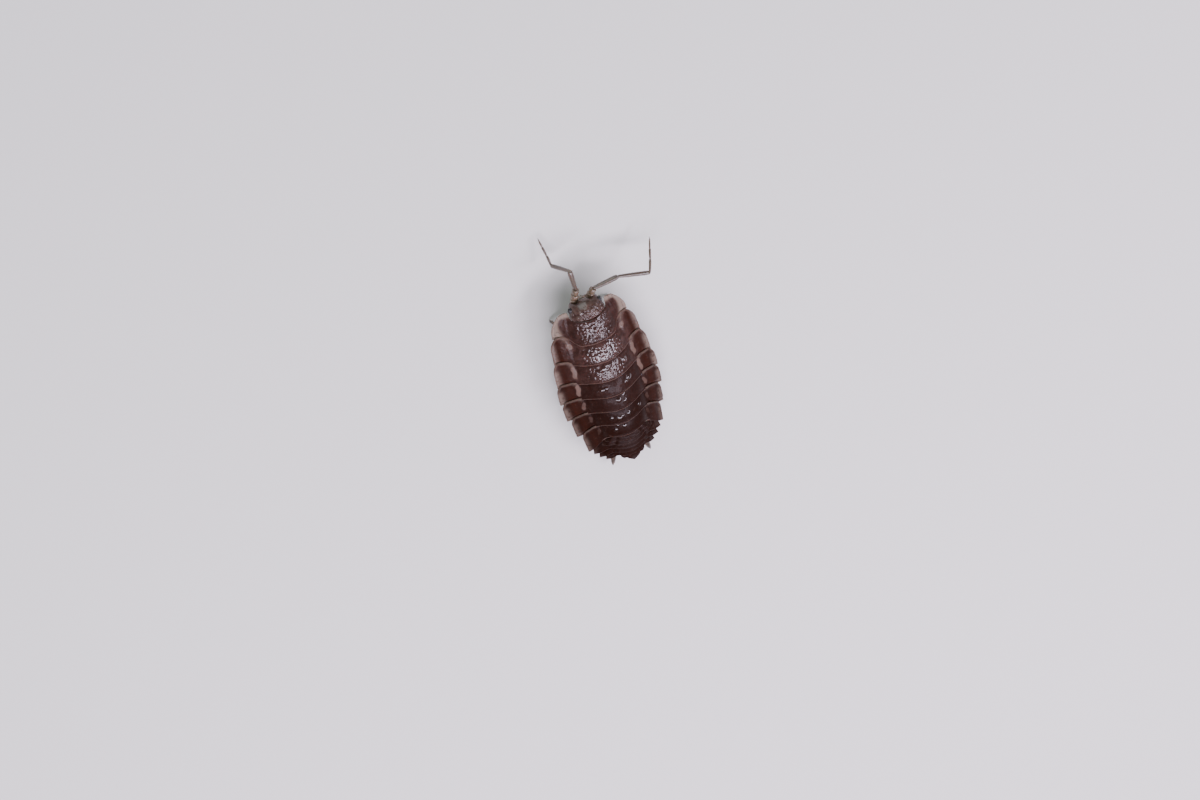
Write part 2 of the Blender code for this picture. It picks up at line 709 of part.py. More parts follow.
def build_legs(material):
    """Seven pairs: out of the belly, over a low knee, down to a small level foot."""
    down = (0.0, 0.0, -1.0)
    for number, rear_s in enumerate(PLATE_REAR):
        front_s = PLATE_REAR[number - 1] - LAP if number else SEAT_REAR + SEAT_LAP
        root_s = 0.5 * (front_s + rear_s - LIP_LENGTH)
        root_x = LEG_ROOT_SHARE * HALF_WIDTH[number]
        for side_name, side in SIDES.items():
            root = bend((side * root_x, root_s, BELLY[number] + LEG_GAP), with_tail=False)
            angle = math.radians(LEG_ANGLE[side_name][number])
            joints = leg_joints(root, side, angle, LEG_REACH[side_name][number], LEG_LIFT[number])
            name = f"leg_{side_name}_{number + 1}"
            add_limb(name, joints, LEG_RADII, FOOT_RADIUS, LEG_SIDES, material, end_way=down)


def from_head_front(place):
    """Joints of the feelers are told from the middle of the head's front edge."""
    left, forward, height = place
    front = bend((0.0, HEAD_FRONT, 0.0))
    return Vector((left, front.y - forward, height))


def build_feelers(material):
    """Each feeler is a jointed stalk, which ends in a knuckle that faces the whip, and the whip."""
    for side_name in SIDES:
        stalk = [from_head_front(place) for place in STALK[side_name]]
        whip = [from_head_front(place) for place in WHIP[side_name]]
        way = (whip[0] - stalk[-1]).normalized()
        stalk.append(stalk[-1] + way * KNUCKLE)
        whip.insert(0, stalk[-1] + way * FEELER_GAP)
        name = f"antenna_{side_name}"
        add_limb(f"{name}_stalk", stalk, STALK_RADII, STALK_RADII[-1], FEELER_SIDES, material)
        add_limb(f"{name}_whip", whip, WHIP_RADII, WHIP_TIP, FEELER_SIDES, material)


def build_mouthparts(material):
    """The pad of folded jaws under the head."""
    add_egg("mouthparts", JAWS_AT, JAWS_RADII, material, rings=JAWS_RINGS)


def build_gills(material):
    """The gill plates under the tail, as one thin body."""
    columns = []
    for share in shares_across(ACROSS_GILLS):
        top = []
        under = []
        for number, s in enumerate(GILL_STATIONS):
            back = number / (len(GILL_STATIONS) - 1)
            x = share * blend(*GILL_HALF_WIDTHS, back)
            roof = blend(*GILL_ROOF, back)
            top.append(bend((x, s, roof)))
            under.append(bend((x, s, roof + GILL_THICKNESS - GILL_RIM_THINNER * abs(share))))
        columns.append((top, under))
    return grid_solid("pleopods", columns, material)


def build_uropods(material):
    """The last limbs: an outer blade that passes the end plate, and a slim inner one beneath it."""
    for side_name, side in SIDES.items():
        for kind, joints in UROPODS.items():
            path = [bend((side * x, s, d)) for x, s, d in joints]
            name = f"uropod_{side_name}_{kind}"
            add_limb(name, path, UROPOD_RADII[kind], UROPOD_TIP, UROPOD_SIDES, material)


def middle_of(corners):
    """The middle of the box round some points, and its lowest height."""
    low = Vector([min(corner[axis] for corner in corners) for axis in range(3)])
    high = Vector([max(corner[axis] for corner in corners) for axis in range(3)])
    return (low + high) / 2.0, low.z


def place_objects():
    """Each piece gets its origin at its own middle, under one empty between the animal's feet."""
    pieces = list(bpy.data.objects)
    middle, floor = middle_of([vert.co for obj in pieces for vert in obj.data.vertices])
    shift = Vector((-middle.x, -middle.y, -floor))
    root = bpy.data.objects.new("woodlouse", None)
    bpy.context.scene.collection.objects.link(root)
    for obj in pieces:
        own_middle = middle_of([vert.co for vert in obj.data.vertices])[0]
        obj.data.transform(Matrix.Translation(-own_middle))
        obj.location = own_middle + shift
        obj.parent = root


def main():
    clear_scene()
    materials = {name: make_material(name, *look) for name, look in MATERIALS.items()}
    edge = build_body_plates(materials["shell"])
    edge = build_tail_plates(edge, materials["shell"])
    build_telson(edge, materials["shell"])
    build_head(materials)
    build_mouthparts(materials["jaws"])
    build_feelers(materials["feeler"])
    build_legs(materials["leg"])
    build_gills(materials["gill"])
    build_uropods(materials["shell"])
    place_objects()


main()
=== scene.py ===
"""The looks of a common shiny woodlouse round its frame: shell plates, head, limbs and a pale studio.

As in the frame's own design, a place on the body is told in millimetres on a straight back: x across,
s along it from the head's front, d down from it. The function bend brings it onto the arched body.
"""

import math
import random
from collections.abc import Callable
from dataclasses import dataclass
from types import SimpleNamespace

import bpy
import numpy as np
from bpy.props import FloatProperty, FloatVectorProperty, IntProperty, PointerProperty
from mathutils import Matrix, Vector


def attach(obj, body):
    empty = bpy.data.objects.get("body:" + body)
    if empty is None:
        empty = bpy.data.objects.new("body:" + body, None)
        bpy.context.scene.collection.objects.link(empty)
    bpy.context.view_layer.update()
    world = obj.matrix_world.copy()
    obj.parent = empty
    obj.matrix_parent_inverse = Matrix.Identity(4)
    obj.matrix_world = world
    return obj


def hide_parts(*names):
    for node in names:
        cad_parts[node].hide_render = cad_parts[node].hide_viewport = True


bl_info = {
    "name": "Woodlouse",
    "version": (1, 0, 0),
    "blender": (4, 5, 0),
    "location": "View3D > Sidebar > Woodlouse",
    "description": "Models a woodlouse's shell, head and limbs round its frame, and a pale studio",
    "category": "Object",
}

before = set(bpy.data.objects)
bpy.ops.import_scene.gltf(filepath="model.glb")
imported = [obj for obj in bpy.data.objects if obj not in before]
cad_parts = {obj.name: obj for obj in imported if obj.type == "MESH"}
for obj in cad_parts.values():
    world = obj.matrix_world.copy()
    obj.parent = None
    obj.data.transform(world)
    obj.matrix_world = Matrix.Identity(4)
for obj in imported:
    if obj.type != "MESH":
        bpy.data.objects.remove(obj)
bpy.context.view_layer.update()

MM = 0.001
UP = Vector((0.0, 0.0, 1.0))
SIDES = {"left": 1, "right": -1}
ROOT = "root"

# Where the body's own middle line and start lie in the frame, in millimetres
BODY_X = 1.1868
BODY_Y = -0.3543

# The arch of the back, and the tail that dips from it
BACK_HEIGHT = 3.95
BACK_RADIUS = 26.0
BACK_TOP_AT = 5.5
TAIL_FROM = 12.35
TAIL_RADIUS = 8.0
FLANK_SHARE = 0.72

# Seven body plates, as in the frame
PLATE_REAR = (3.8, 5.45, 7.05, 8.45, 9.8, 11.1, 12.35)
CORNER_BACK = (-0.9, -0.15, 0.25, 0.5, 0.82, 1.24, 1.6)
HALF_WIDTH = (2.95, 3.42, 3.72, 3.9, 3.8, 3.48, 3.0)
CORNER_DROP = (1.65, 1.9, 2.03, 2.1, 2.0, 1.75, 1.4)
BELLY = (2.3, 2.45, 2.55, 2.55, 2.4, 2.15, 1.85)
BELLY_AT = (1.7, 2.4, *(rear - 0.8 for rear in PLATE_REAR[1:]), 12.4, 13.4, 14.9)
BELLY_DEPTHS = (1.7, *BELLY, 1.7, 1.2, 0.75)
CORNER_FROM = 0.42
CORNER_TO = (0.8, 1.0, 1.0, 1.0, 1.0, 1.0, 1.0)
FRONT_WIDTH_SHARE = 0.6
NAPE = (0.9, 2.75, 1.35)
TAIL_AT = (14.6, 15.1, 15.47, 16.4)
TAIL_SPREAD = (2.75, 2.42, 2.05, 1.7)
TAIL_DROP = (1.15, 0.92, 0.72, 0.5)

# First plate
SEAT_REAR = 1.92
SEAT_FORWARD = 0.3
SEAT_HALF_WIDTH = 1.34
LOBE_FRONT = 0.92
LOBE_FROM = 1.53
LOBE_ROUND = 0.35
FIRST_FRONT_HALF_WIDTH = 2.75

# Side plates: from here out each one's front edge lies over the plate before it, in an arch
SIDE_FROM = 0.57
ARCH_HEIGHT = (0.16, 0.44, 0.36, 0.32, 0.3, 0.28)
ARCH_RISE = (0.57, 0.7)
ARCH_FALL = (0.8, 1.0, 0.45)
ARCH_LEAST = 0.12
CLIMB = (0.58, 0.66)
CORNER_ROUND = (0.7, 0.55, 0.34, 0.34, 0.36, 0.38, 0.38)
CORNER_REACH = (0.8, 0.42, 0.42, 0.42, 0.42, 0.42, 0.42)
SIDE_RAISED = 0.03
SIDE_DIP = 0.07

# Tail plates and end plate
TAIL_REAR = (12.85, 13.3, 13.8, 14.32, 14.82)
TAIL_CORNER_BACK = (0.05, 0.1, 0.85, 0.8, 0.65)
TAIL_HALF_WIDTH = (1.75, 2.02, 2.68, 2.36, 1.95)
TAIL_CORNER_ROUND = 0.2
TELSON_TIP = 16.0
TELSON_HALF_WIDTH = 1.05
TELSON_SHOULDER = 15.05
TELSON_HOLLOW = 1.5
TAIL_TUCK = 0.3
TAIL_PLATE_FACES = (150, 48)

# How far behind the plate before it every place on the first plate counts as
LONG_SINCE = 9.0

# How the thin plates lie over each other
LIP = 0.1
CLEAR = 0.045
LAP = 0.42
RISE_CURVE = 2.3
EDGE_ROUND = 0.1
BEAD_HEIGHT = 0.028
BEAD_AT = 0.1
BEAD_WIDTH = 0.06

# Relief of the side plates, as shares of the half width
GROOVE_AT = 0.585
GROOVE_WIDTH = 0.07
GROOVE_DEPTH = 0.05
SWELL_AT = 0.8
SWELL_WIDTH = 0.1
SWELL_HEIGHT = 0.05

# Smooth round knobs on the plates behind the second, which catch the light: x, s and radius
KNOBS = (
    (-1.35, 6.1, 0.24), (0.4, 5.9, 0.24), (0.1, 5.75, 0.15), (0.7, 6.0, 0.16), (-1.25, 7.6, 0.26),
    (-0.95, 7.74, 0.18), (1.0, 7.7, 0.25), (0.68, 7.6, 0.19), (1.3, 7.76, 0.14), (0.05, 8.9, 0.23),
    (-0.48, 8.6, 0.17), (-0.44, 9.14, 0.17), (0.95, 10.4, 0.18), (0.38, 10.5, 0.23), (0.08, 10.4, 0.13),
    (-0.42, 10.4, 0.2), (-1.4, 10.4, 0.17), (0.88, 11.6, 0.17), (0.18, 11.4, 0.17), (0.68, 11.22, 0.12),
)
KNOB_HEIGHT = 0.046

# Strewn bumps: their spacing, how much longer than wide they are, and their strength on each body plate
BUMPS = 0.25
FINE_BUMPS = 0.12
BUMP_STRETCH = 1.3
BODY_GRAIN = (1.0, 1.0, 0.75, 0.24, 0.17, 0.14, 0.12)

# Clear gloss on the middle of each body plate
BODY_WET = (0.66, 1.0, 0.52, 0.04, 0.03, 0.03, 0.03)

# Pale patch at the root of each side plate: its middle as a share of the half width
PATCH_AT = 0.635

# Pale lines along the rear edges and round the side plates: from where to where each one fades in
LINE_FADE = (0.13, 0.05)
RIM_LINE_FADE = (0.08, 0.03)
ARCH_PALE = 0.28

# Head
HEAD_FRONT = 0.45
HEAD_HALF_WIDTH = 1.32
HEAD_NECK_END = 2.3
SEAM = (1.8, 1.91)
NOTCH_AT = 0.56
NOTCH_DEPTH = 0.16
NOTCH_WIDTH = 0.2
SIDE_LOBE_FROM = 0.85
SIDE_LOBE_BACK = 0.9
SIDE_LOBE_CURVE = 2.2
HEAD_DEPTH = 2.05
EYE_AT = (1.14, 0.92)
EYE_RADII = (0.16, 0.24, 0.13)
EYE_LEAN = 42.0
EYE_BEAD = (0.034, 0.039, 0.018)
EYE_BEAD_SPACING = (0.34, 0.27)
SOCKET_AT = (0.5, 0.62, 1.16)
SOCKET_RADII = (0.27, 0.075)
SOCKET_FACES = (40, 14)
HEAD_FACES = (200, 130)

# Jaws on the straight body: form, start, end, width, thickness, tone and darkness; the first is single
LIP_PLATE = ("article", (0.0, 0.6, 1.35), (0.0, 0.72, 2.02), 0.4, 0.14, 0.3, 0.0)
JAWS = (
    ("article", (0.24, 1.95, 2.2), (0.2, 0.95, 2.3), 0.25, 0.15, 0.35, 0.0),
    ("article", (0.55, 1.7, 2.0), (0.42, 0.85, 2.1), 0.16, 0.14, 0.5, 0.0),
    ("article", (0.2, 1.02, 2.32), (0.17, 0.78, 2.22), 0.1, 0.1, 0.2, 0.0),
    ("article", (0.17, 0.8, 2.24), (0.13, 0.62, 2.12), 0.07, 0.07, 0.2, 0.0),
    ("article", (0.5, 0.95, 1.6), (0.36, 0.72, 2.0), 0.17, 0.17, 0.4, 0.2),
    ("claw", (0.34, 0.72, 1.96), (0.05, 0.64, 2.16), 0.1, 0.1, 0.5, 1.0),
)

# Legs, as in the frame
LEG_ANGLE = {"left": (-16, -14, -6, 5, 20, 32, 46), "right": (-14, -16, -10, 8, 18, 35, 44)}
LEG_REACH = {
    "left": (1.42, 1.46, 1.6, 1.8, 1.98, 2.06, 2.4),
    "right": (1.45, 1.5, 1.62, 1.82, 1.96, 2.1, 2.38),
}
LEG_LIFT = (1.0, 0.98, 0.97, 0.94, 0.9, 0.86, 0.72)
LEG_TURN = 0.25
LEG_ROOT_SHARE = 0.34
LEG_ARTICLES = (0.0, 0.12, 0.5, 0.64, 0.77, 0.88, 0.965, 1.0)
LEG_HEIGHTS = (1.12, 0.84, 0.97, 0.94, 0.8, 0.58, 0.16, 0.0)
LEG_WIDTHS = (0.24, 0.2, 0.17, 0.165, 0.15, 0.115, 0.07)
LEG_TONES = (0.25, 0.25, 0.75, 0.75, 0.75, 0.75, 0.75)
LEG_OVERLAP = 0.3
CLAW_DARK = 0.8
SPINED_ARTICLES = (3, 4, 5)
SPINE_LENGTH = 0.12

# Feelers: joints as (towards the animal's left, forward of the head's front, height). A small knuckle
# hides each joint of the stalk: how far before and above the joint it reaches, and its share of the width
STALK = {
    "left": ((0.62, -0.4, 2.3), (0.53, -0.03, 2.42), (0.37, 0.32, 2.52), (0.24, 0.74, 2.62),
             (0.27, 2.45, 2.95), (1.06, 2.33, 0.95)),
    "right": ((-0.58, -0.62, 2.3), (-0.62, -0.38, 2.42), (-0.74, -0.03, 2.52), (-1.0, 0.25, 2.62),
              (-2.89, 0.44, 2.8), (-5.26, -0.58, 2.3)),
}
STALK_WIDTHS = (0.29, 0.3, 0.27, 0.2, 0.165)
STALK_TONES = (0.15, 0.2, 0.35, 0.85, 0.8)
STALK_OVERLAP = 0.07
STALK_BRISTLES_PER_MM = 9
STALK_BRISTLE = 0.09
KNUCKLE = (0.05, 0.06, 0.7)
WHIP = {
    "left": ((1.11, 3.09, 0.78), (1.2, 3.81, 0.62), (1.27, 4.53, 0.46)),
    "right": ((-5.64, 0.22, 1.95), (-5.9, 0.88, 1.7), (-6.2, 1.62, 1.4)),
}
WHIP_WIDTHS = (0.1, 0.09, 0.07)
WHIP_OVERLAP = 0.03
WHIP_BRISTLES = 14
WHIP_BRISTLE = 0.07

# Bristles: how far they lean along their article, and their widths round and under it
BRISTLE_LEAN = 0.6
BRISTLE_WIDTH = (0.008, 0.016)

# The soft belly on the straight body: folds between the plates, swellings round the legs' roots
UNDERSIDE_ENDS = (1.75, 14.8)
UNDERSIDE_WIDTH = 0.66
UNDERSIDE_THICKNESS = 0.08
UNDERSIDE_FACES = (150, 220)
FOLD_BEFORE_REAR = 0.45
FOLD_WIDTH = 0.1
SWELLING_WIDTH = 0.32
BELLY_RELIEF = 0.16

# Gill plates: s, width and depth of the first pair, and the step to each next pair
GILL_PAIRS = 5
GILL_FIRST = (12.7, 0.56, 1.72)
GILL_STEP = (0.42, -0.06, -0.13)

# Tail limbs on the straight body
UROPODS = {
    "outer": ((1.1, 14.8, 1.22), (1.3, 15.72, 0.86), (1.52, 16.85, 0.46)),
    "inner": ((0.38, 14.98, 1.12), (0.42, 15.5, 0.98), (0.48, 16.35, 0.76)),
}
UROPOD_WIDTHS = {"outer": (0.27, 0.22), "inner": (0.15, 0.13)}
UROPOD_BRISTLES = 10
UROPOD_BRISTLE = 0.1

# Turned forms of one article, a spear and a claw: (height, radius), both as shares
ARTICLE = ((0.0, 0.3), (0.02, 0.56), (0.07, 0.72), (0.2, 0.84), (0.5, 0.95), (0.78, 1.0), (0.92, 0.98),
           (0.985, 0.86), (1.0, 0.6))
SPEAR = ((0.0, 0.35), (0.03, 0.7), (0.12, 0.94), (0.35, 1.0), (0.6, 0.84), (0.82, 0.52), (0.95, 0.22),
         (1.0, 0.06))
CLAW = ((0.0, 0.6), (0.1, 0.9), (0.4, 0.72), (0.7, 0.42), (0.92, 0.16), (1.0, 0.04))

# Lights: width and length, power, place from the animal's middle in metres, colour, turn in degrees
PEARLY = (0.92, 0.84, 1.0)
LIGHTS = {
    "key_right": ((0.2, 0.044), 0.6, (-0.1, 0.078, 0.152), PEARLY, -18.0),
    "key_left": ((0.15, 0.044), 0.44, (0.054, 0.078, 0.152), PEARLY, 18.0),
    "fill": ((0.22, 0.22), 0.5, (0.05, -0.23, 0.13), (0.9, 0.98, 0.97), 0.0),
}
SKY = (0.86, 0.9, 1.0, 1.0)
SKY_STRENGTH = 0.14

# Where a place on the body falls in the photograph, and the picture's scale there
PICTURE = (1200, 800)
PICTURE_PLACE = (609.0, 377.1)
BODY_PLACE = (0.0, 2.0, 2.5)
PIXELS_PER_MM = 13.975
SENSOR = 36.0
FLOOR_SIZE = 3.0


def colour_setting(name, about, default):
    """A colour that a user can change."""
    return FloatVectorProperty(name=name, description=about, subtype="COLOR", size=3, min=0.0, max=1.0,
                               default=default)


def angle_setting(name, about, degrees):
    """An angle that a user can change."""
    return FloatProperty(name=name, description=about, subtype="ANGLE", default=math.radians(degrees))


class WOODLOUSE_PG_shell(bpy.types.PropertyGroup):
    """Sizes and colours of the shell plates."""

    brown: colour_setting("Brown", "Main colour of the plates", (0.06, 0.0285, 0.0235))
    dark: colour_setting("Dark brown", "Darkest clouds on the plates", (0.032, 0.014, 0.011))
    heart: colour_setting("Heart", "Red-brown middle of each side plate", (0.027, 0.0078, 0.0045))
    # Painted shade: the deep colour darkens the rear plates and the tail, as if they lay in shade
    deep: colour_setting("Deep", "Dark tinge of the rear plates", (0.014, 0.0042, 0.0024))
    pale: colour_setting("Pale", "Pale lobes and outer bands", (0.22, 0.165, 0.132))
    patch: colour_setting("Patch", "Pale patch at the root of each side plate", (0.12, 0.076, 0.06))
    rim: colour_setting("Rim", "Thin pale line along each rear edge", (0.14, 0.088, 0.07))
    thickness: FloatProperty(name="Thickness", description="Thickness of a plate", unit="LENGTH",
                             precision=5, min=0.00005, default=LIP * MM)
    grain: FloatProperty(name="Grain height", description="Height of the low round bumps", unit="LENGTH",
                         precision=6, min=0.0, default=0.000034)
    columns: IntProperty(name="Columns", description="Faces across a body plate", min=20, default=310)
    rows: IntProperty(name="Rows", description="Faces along a body plate", min=10, default=84)


class WOODLOUSE_PG_limbs(bpy.types.PropertyGroup):
    """Sizes and colours of the legs and feelers."""

    horn: colour_setting("Pale horn", "Pale ground colour of the limbs", (0.135, 0.09, 0.055))
    smoke: colour_setting("Smoke", "Grey-brown marbling of the limbs", (0.045, 0.034, 0.027))
    flesh: colour_setting("Belly", "Pale skin of the underside", (0.25, 0.2, 0.155))
    claw: colour_setting("Claw", "Dark tips of claws and jaws", (0.03, 0.014, 0.008))
    spines: IntProperty(name="Spines", description="Spines under each outer leg article", min=0, default=7)


class WOODLOUSE_PG_studio(bpy.types.PropertyGroup):
    """Camera and floor."""

    azimuth: angle_setting("Azimuth", "Camera, from the head towards the animal's left", 14.369)
    elevation: angle_setting("Elevation", "Camera above the floor", 58.230)
    roll: angle_setting("Roll", "Camera turned about its own line of sight", 144.068)
    distance: FloatProperty(name="Distance", description="From the camera to the animal", unit="LENGTH",
                            default=0.26)
    floor: colour_setting("Floor", "Colour of the floor", (0.72, 0.71, 0.69))


def points_of(obj):
    """The mesh's points as an array."""
    points = np.empty(len(obj.data.vertices) * 3)
    obj.data.vertices.foreach_get("co", points)
    return points.reshape(-1, 3)


def put_points(obj, points):
    obj.data.vertices.foreach_set("co", np.ascontiguousarray(points, dtype=np.float32).ravel())
    obj.data.update()


def set_marks(obj, **marks):
    """Stores values for each point, which the materials read as masks."""
    count = len(obj.data.vertices)
    for name, values in marks.items():
        layer = obj.data.attributes.get(name) or obj.data.attributes.new(name, "FLOAT", "POINT")
        layer.data.foreach_set("value", np.ascontiguousarray(np.broadcast_to(values, count), np.float32))


def select_only(objects):
    """Selects these objects alone; the first is the active one."""
    bpy.ops.object.select_all(action="DESELECT")
    for obj in objects:
        obj.select_set(True)
    bpy.context.view_layer.objects.active = objects[0]


def apply_modifier(obj, kind, **values):
    """Adds a modifier with these values and applies it."""
    select_only([obj])
    modifier = obj.modifiers.new(kind.title(), kind)
    for name, value in values.items():
        setattr(modifier, name, value)
    bpy.ops.object.modifier_apply(modifier=modifier.name)


def finish_piece(name, objects, material, slot, *nodes):
    """Joins objects into a piece with a material, its place in the frame and the nodes that it stands for."""
    select_only(objects)
    if len(objects) > 1:
        bpy.ops.object.join()
    obj = objects[0]
    obj.name = name
    obj.data.name = name
    obj.data.materials.clear()
    obj.data.materials.append(MATERIALS[material])
    obj.data.shade_smooth()
    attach(obj, ROOT)
    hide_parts(*nodes)


def smooth_step(start, end, value):
    """A soft change from 0 at start to 1 at end; start may lie past end."""
    share = np.clip((value - start) / (end - start), 0.0, 1.0)
    return share * share * (3.0 - 2.0 * share)


def hump(value, middle, width):
    """A soft rise to 1 at the middle."""
    return np.exp(-((value - middle) / width) ** 2)


def blend(low, high, share):
    return low + (high - low) * share


RIM_AT = (NAPE[0], *(rear + back for rear, back in zip(PLATE_REAR, CORNER_BACK)), *TAIL_AT)


def half_width_at(s):
    return np.interp(s, RIM_AT, (NAPE[1], *HALF_WIDTH, *TAIL_SPREAD))


def drop_at(s):
    return np.interp(s, RIM_AT, (NAPE[2], *CORNER_DROP, *TAIL_DROP))


def cross_profile(share):
    """Share of the drop at a share of the half width: steep on the flank, flared at the rim."""
    return FLANK_SHARE * np.sin(0.5 * np.pi * share) ** 2 + (1.0 - FLANK_SHARE) * share * share


def surface(x, s, inward):
    """The back's common surface moved inward along its normal: x and d."""
    wide = half_width_at(s)
    share = np.minimum(1.0, np.abs(x) / wide)
    step = 0.01
    rise = (cross_profile(share + step) - cross_profile(share - step)) / (2.0 * step)
    slope = np.arctan(rise * drop_at(s) / wide)
    return x - np.sign(x) * inward * np.sin(slope), drop_at(s) * cross_profile(share) + inward * np.cos(slope)


def bend(x, s, d, with_tail=True):
    """From the straight body in millimetres to the frame in metres."""
    x, s, d = np.broadcast_arrays(np.asarray(x, float), np.asarray(s, float), np.asarray(d, float))
    on_back = np.minimum(s, TAIL_FROM) if with_tail else s
    turn = (on_back - BACK_TOP_AT) / BACK_RADIUS
    y = BACK_RADIUS * np.sin(turn)
    z = BACK_HEIGHT - BACK_RADIUS * (1.0 - np.cos(turn))
    more = (s - on_back) / TAIL_RADIUS
    y = y + TAIL_RADIUS * (np.sin(turn + more) - np.sin(turn))
    z = z - TAIL_RADIUS * (np.cos(turn) - np.cos(turn + more))
    turn = turn + more
    placed = (x + BODY_X, y - d * np.sin(turn) + BODY_Y, z - d * np.cos(turn))
    return np.stack(placed, axis=-1) * MM


def at(x, s, d, with_tail=True):
    """One place on the body as a vector in the frame."""
    return Vector(bend(x, s, d, with_tail))


def crowd(share, amount=0.2):
    """Moves even steps from -1 to 1 closer together at both ends."""
    return share + amount * np.sin(np.pi * share)


def crowd_columns(share):
    """Moves even steps from -1 to 1 closer together where the side plates start and at the rims."""
    even = np.linspace(0.0, 1.0, 400)
    total = np.cumsum(1.0 + 1.6 * hump(even, SIDE_FROM + 0.03, 0.07) + 1.6 * hump(even, 1.0, 0.07))
    total = (total - total[0]) / (total[-1] - total[0])
    return np.sign(share) * np.interp(np.abs(share), total, even)


def beads(x, s, spacing, seed):
    """Low round bumps strewn unevenly: 1 at a bump's top, 0 between them."""
    size = 64
    s = s / BUMP_STRETCH
    table = np.random.RandomState(seed).random_sample((size, size, 3))
    column = np.floor(x / spacing).astype(int)
    row = np.floor(s / spacing).astype(int)
    height = np.zeros_like(x)
    for right in (-1, 0, 1):
        for back in (-1, 0, 1):
            cell = table[(column + right) % size, (row + back) % size]
            far_x = x - (column + right + blend(0.15, 0.85, cell[:, 0])) * spacing
            far_s = s - (row + back + blend(0.15, 0.85, cell[:, 1])) * spacing
            radius = spacing * blend(0.36, 0.62, cell[:, 2])
            top = 1.0 - (far_x ** 2 + far_s ** 2) / radius ** 2
            height = np.maximum(height, top * blend(0.6, 1.0, cell[:, 2]))
    return height


def shaped_grid(name, columns, rows, place):
    """A grid whose points are put by place, a function of across (-1 to 1) and along (0 to 1)."""
    bpy.ops.mesh.primitive_grid_add(x_subdivisions=columns, y_subdivisions=rows, size=2.0)
    obj = bpy.context.object
    obj.name = name
    flat = points_of(obj)
    put_points(obj, place(obj, crowd_columns(flat[:, 0]), 0.5 + 0.5 * crowd(flat[:, 1])))
    return obj


def rear_edge(rear, back, half_width, to=1.0):
    """Rear edge of a plate as a function of x: straight in the middle, its corners set back or forward."""
    return lambda x: rear + back * smooth_step(CORNER_FROM, to, np.minimum(1.0, np.abs(x) / half_width))


def arched_front(before, half_width, height):
    """Front edge of a plate: tucked under the one before in the middle, arched over it at the sides."""
    def front(x):
        share = np.minimum(1.0, np.abs(x) / half_width)
        fall = 1.0 - ARCH_FALL[2] * smooth_step(*ARCH_FALL[:2], share)
        arch = (height - ARCH_LEAST) * smooth_step(*ARCH_RISE, share) * fall
        tucked = (LAP - ARCH_LEAST) * smooth_step(SIDE_FROM, SIDE_FROM - 0.07, share)
        return before(x) - ARCH_LEAST - arch - tucked
    return front


def slant(edge, x):
    """How much longer a way along the body is than the shortest way to this edge."""
    step = 0.01
    rise = (edge(x + step) - edge(x - step)) / (2.0 * step)
    return np.sqrt(1.0 + rise * rise)


def round_edges(obj, edge_distance):
    """Sink that rounds the outer face near the edge; the rest of the rounding is a thinner wall."""
    near = np.clip(1.0 - edge_distance / EDGE_ROUND, 0.0, 1.0)
    full = np.sqrt(1.0 - near * near)
    group = obj.vertex_groups.new(name="wall")
    for step in range(21):
        weight = step / 20.0
        chosen = np.nonzero(np.abs(full - weight) <= 0.025)[0]
        if len(chosen):
            group.add([int(index) for index in chosen], max(0.1, weight), "REPLACE")
    return 0.5 * LIP * (1.0 - full)


def side_relief(share):
    """Sink of the groove at the root of the side plates, and of the swelling beyond it."""
    far = np.abs(share)
    return GROOVE_DEPTH * hump(far, GROOVE_AT, GROOVE_WIDTH) - SWELL_HEIGHT * hump(far, SWELL_AT, SWELL_WIDTH)


@dataclass
class PlateForm:
    """One plate: its edges as functions of x, its half widths in front and behind, how its surface lies."""

    front: Callable
    rear: Callable
    halves: tuple
    rounding: float
    reach: float = 0.5
    before: Callable = None
    after: Callable = None
    with_tail: bool = False
    grain: float = 0.06
    wet: float = 0.03
    seed: int = 0

    def half(self, along):
        """Half width along the plate without its rounding."""
        return blend(*self.halves, along)

    def rim(self, along):
        """Half width along the plate: its front corners are rounded off, its rear ones are not."""
        short = np.maximum(0.0, 1.0 - along / self.reach)
        return self.half(along) - self.rounding * short * short


def knobs(x, s):
    """The smooth round knobs of the rear plates: 1 at their tops."""
    height = np.zeros_like(x)
    for knob_x, knob_s, radius in KNOBS:
        near = np.clip(1.0 - ((x - knob_x) ** 2 + (s - knob_s) ** 2) / radius ** 2, 0.0, 1.0)
        height = np.maximum(height, near ** 1.3 * radius / 0.2)
    return height


@dataclass
class Marking:
    """How strong one plate's patch, outer band, heart and painted shade are, and where patch and heart lie.
    """

    patch: float = 0.0
    start: float = 0.1
    length: float = 1.1
    width: float = 0.13
    outer: float = 0.4
    heart: float = 1.0
    heart_at: float = 0.77
    # Share of painted shade on this plate
    deep: float = 1.0
    line: float = 1.0
    lobe: bool = False


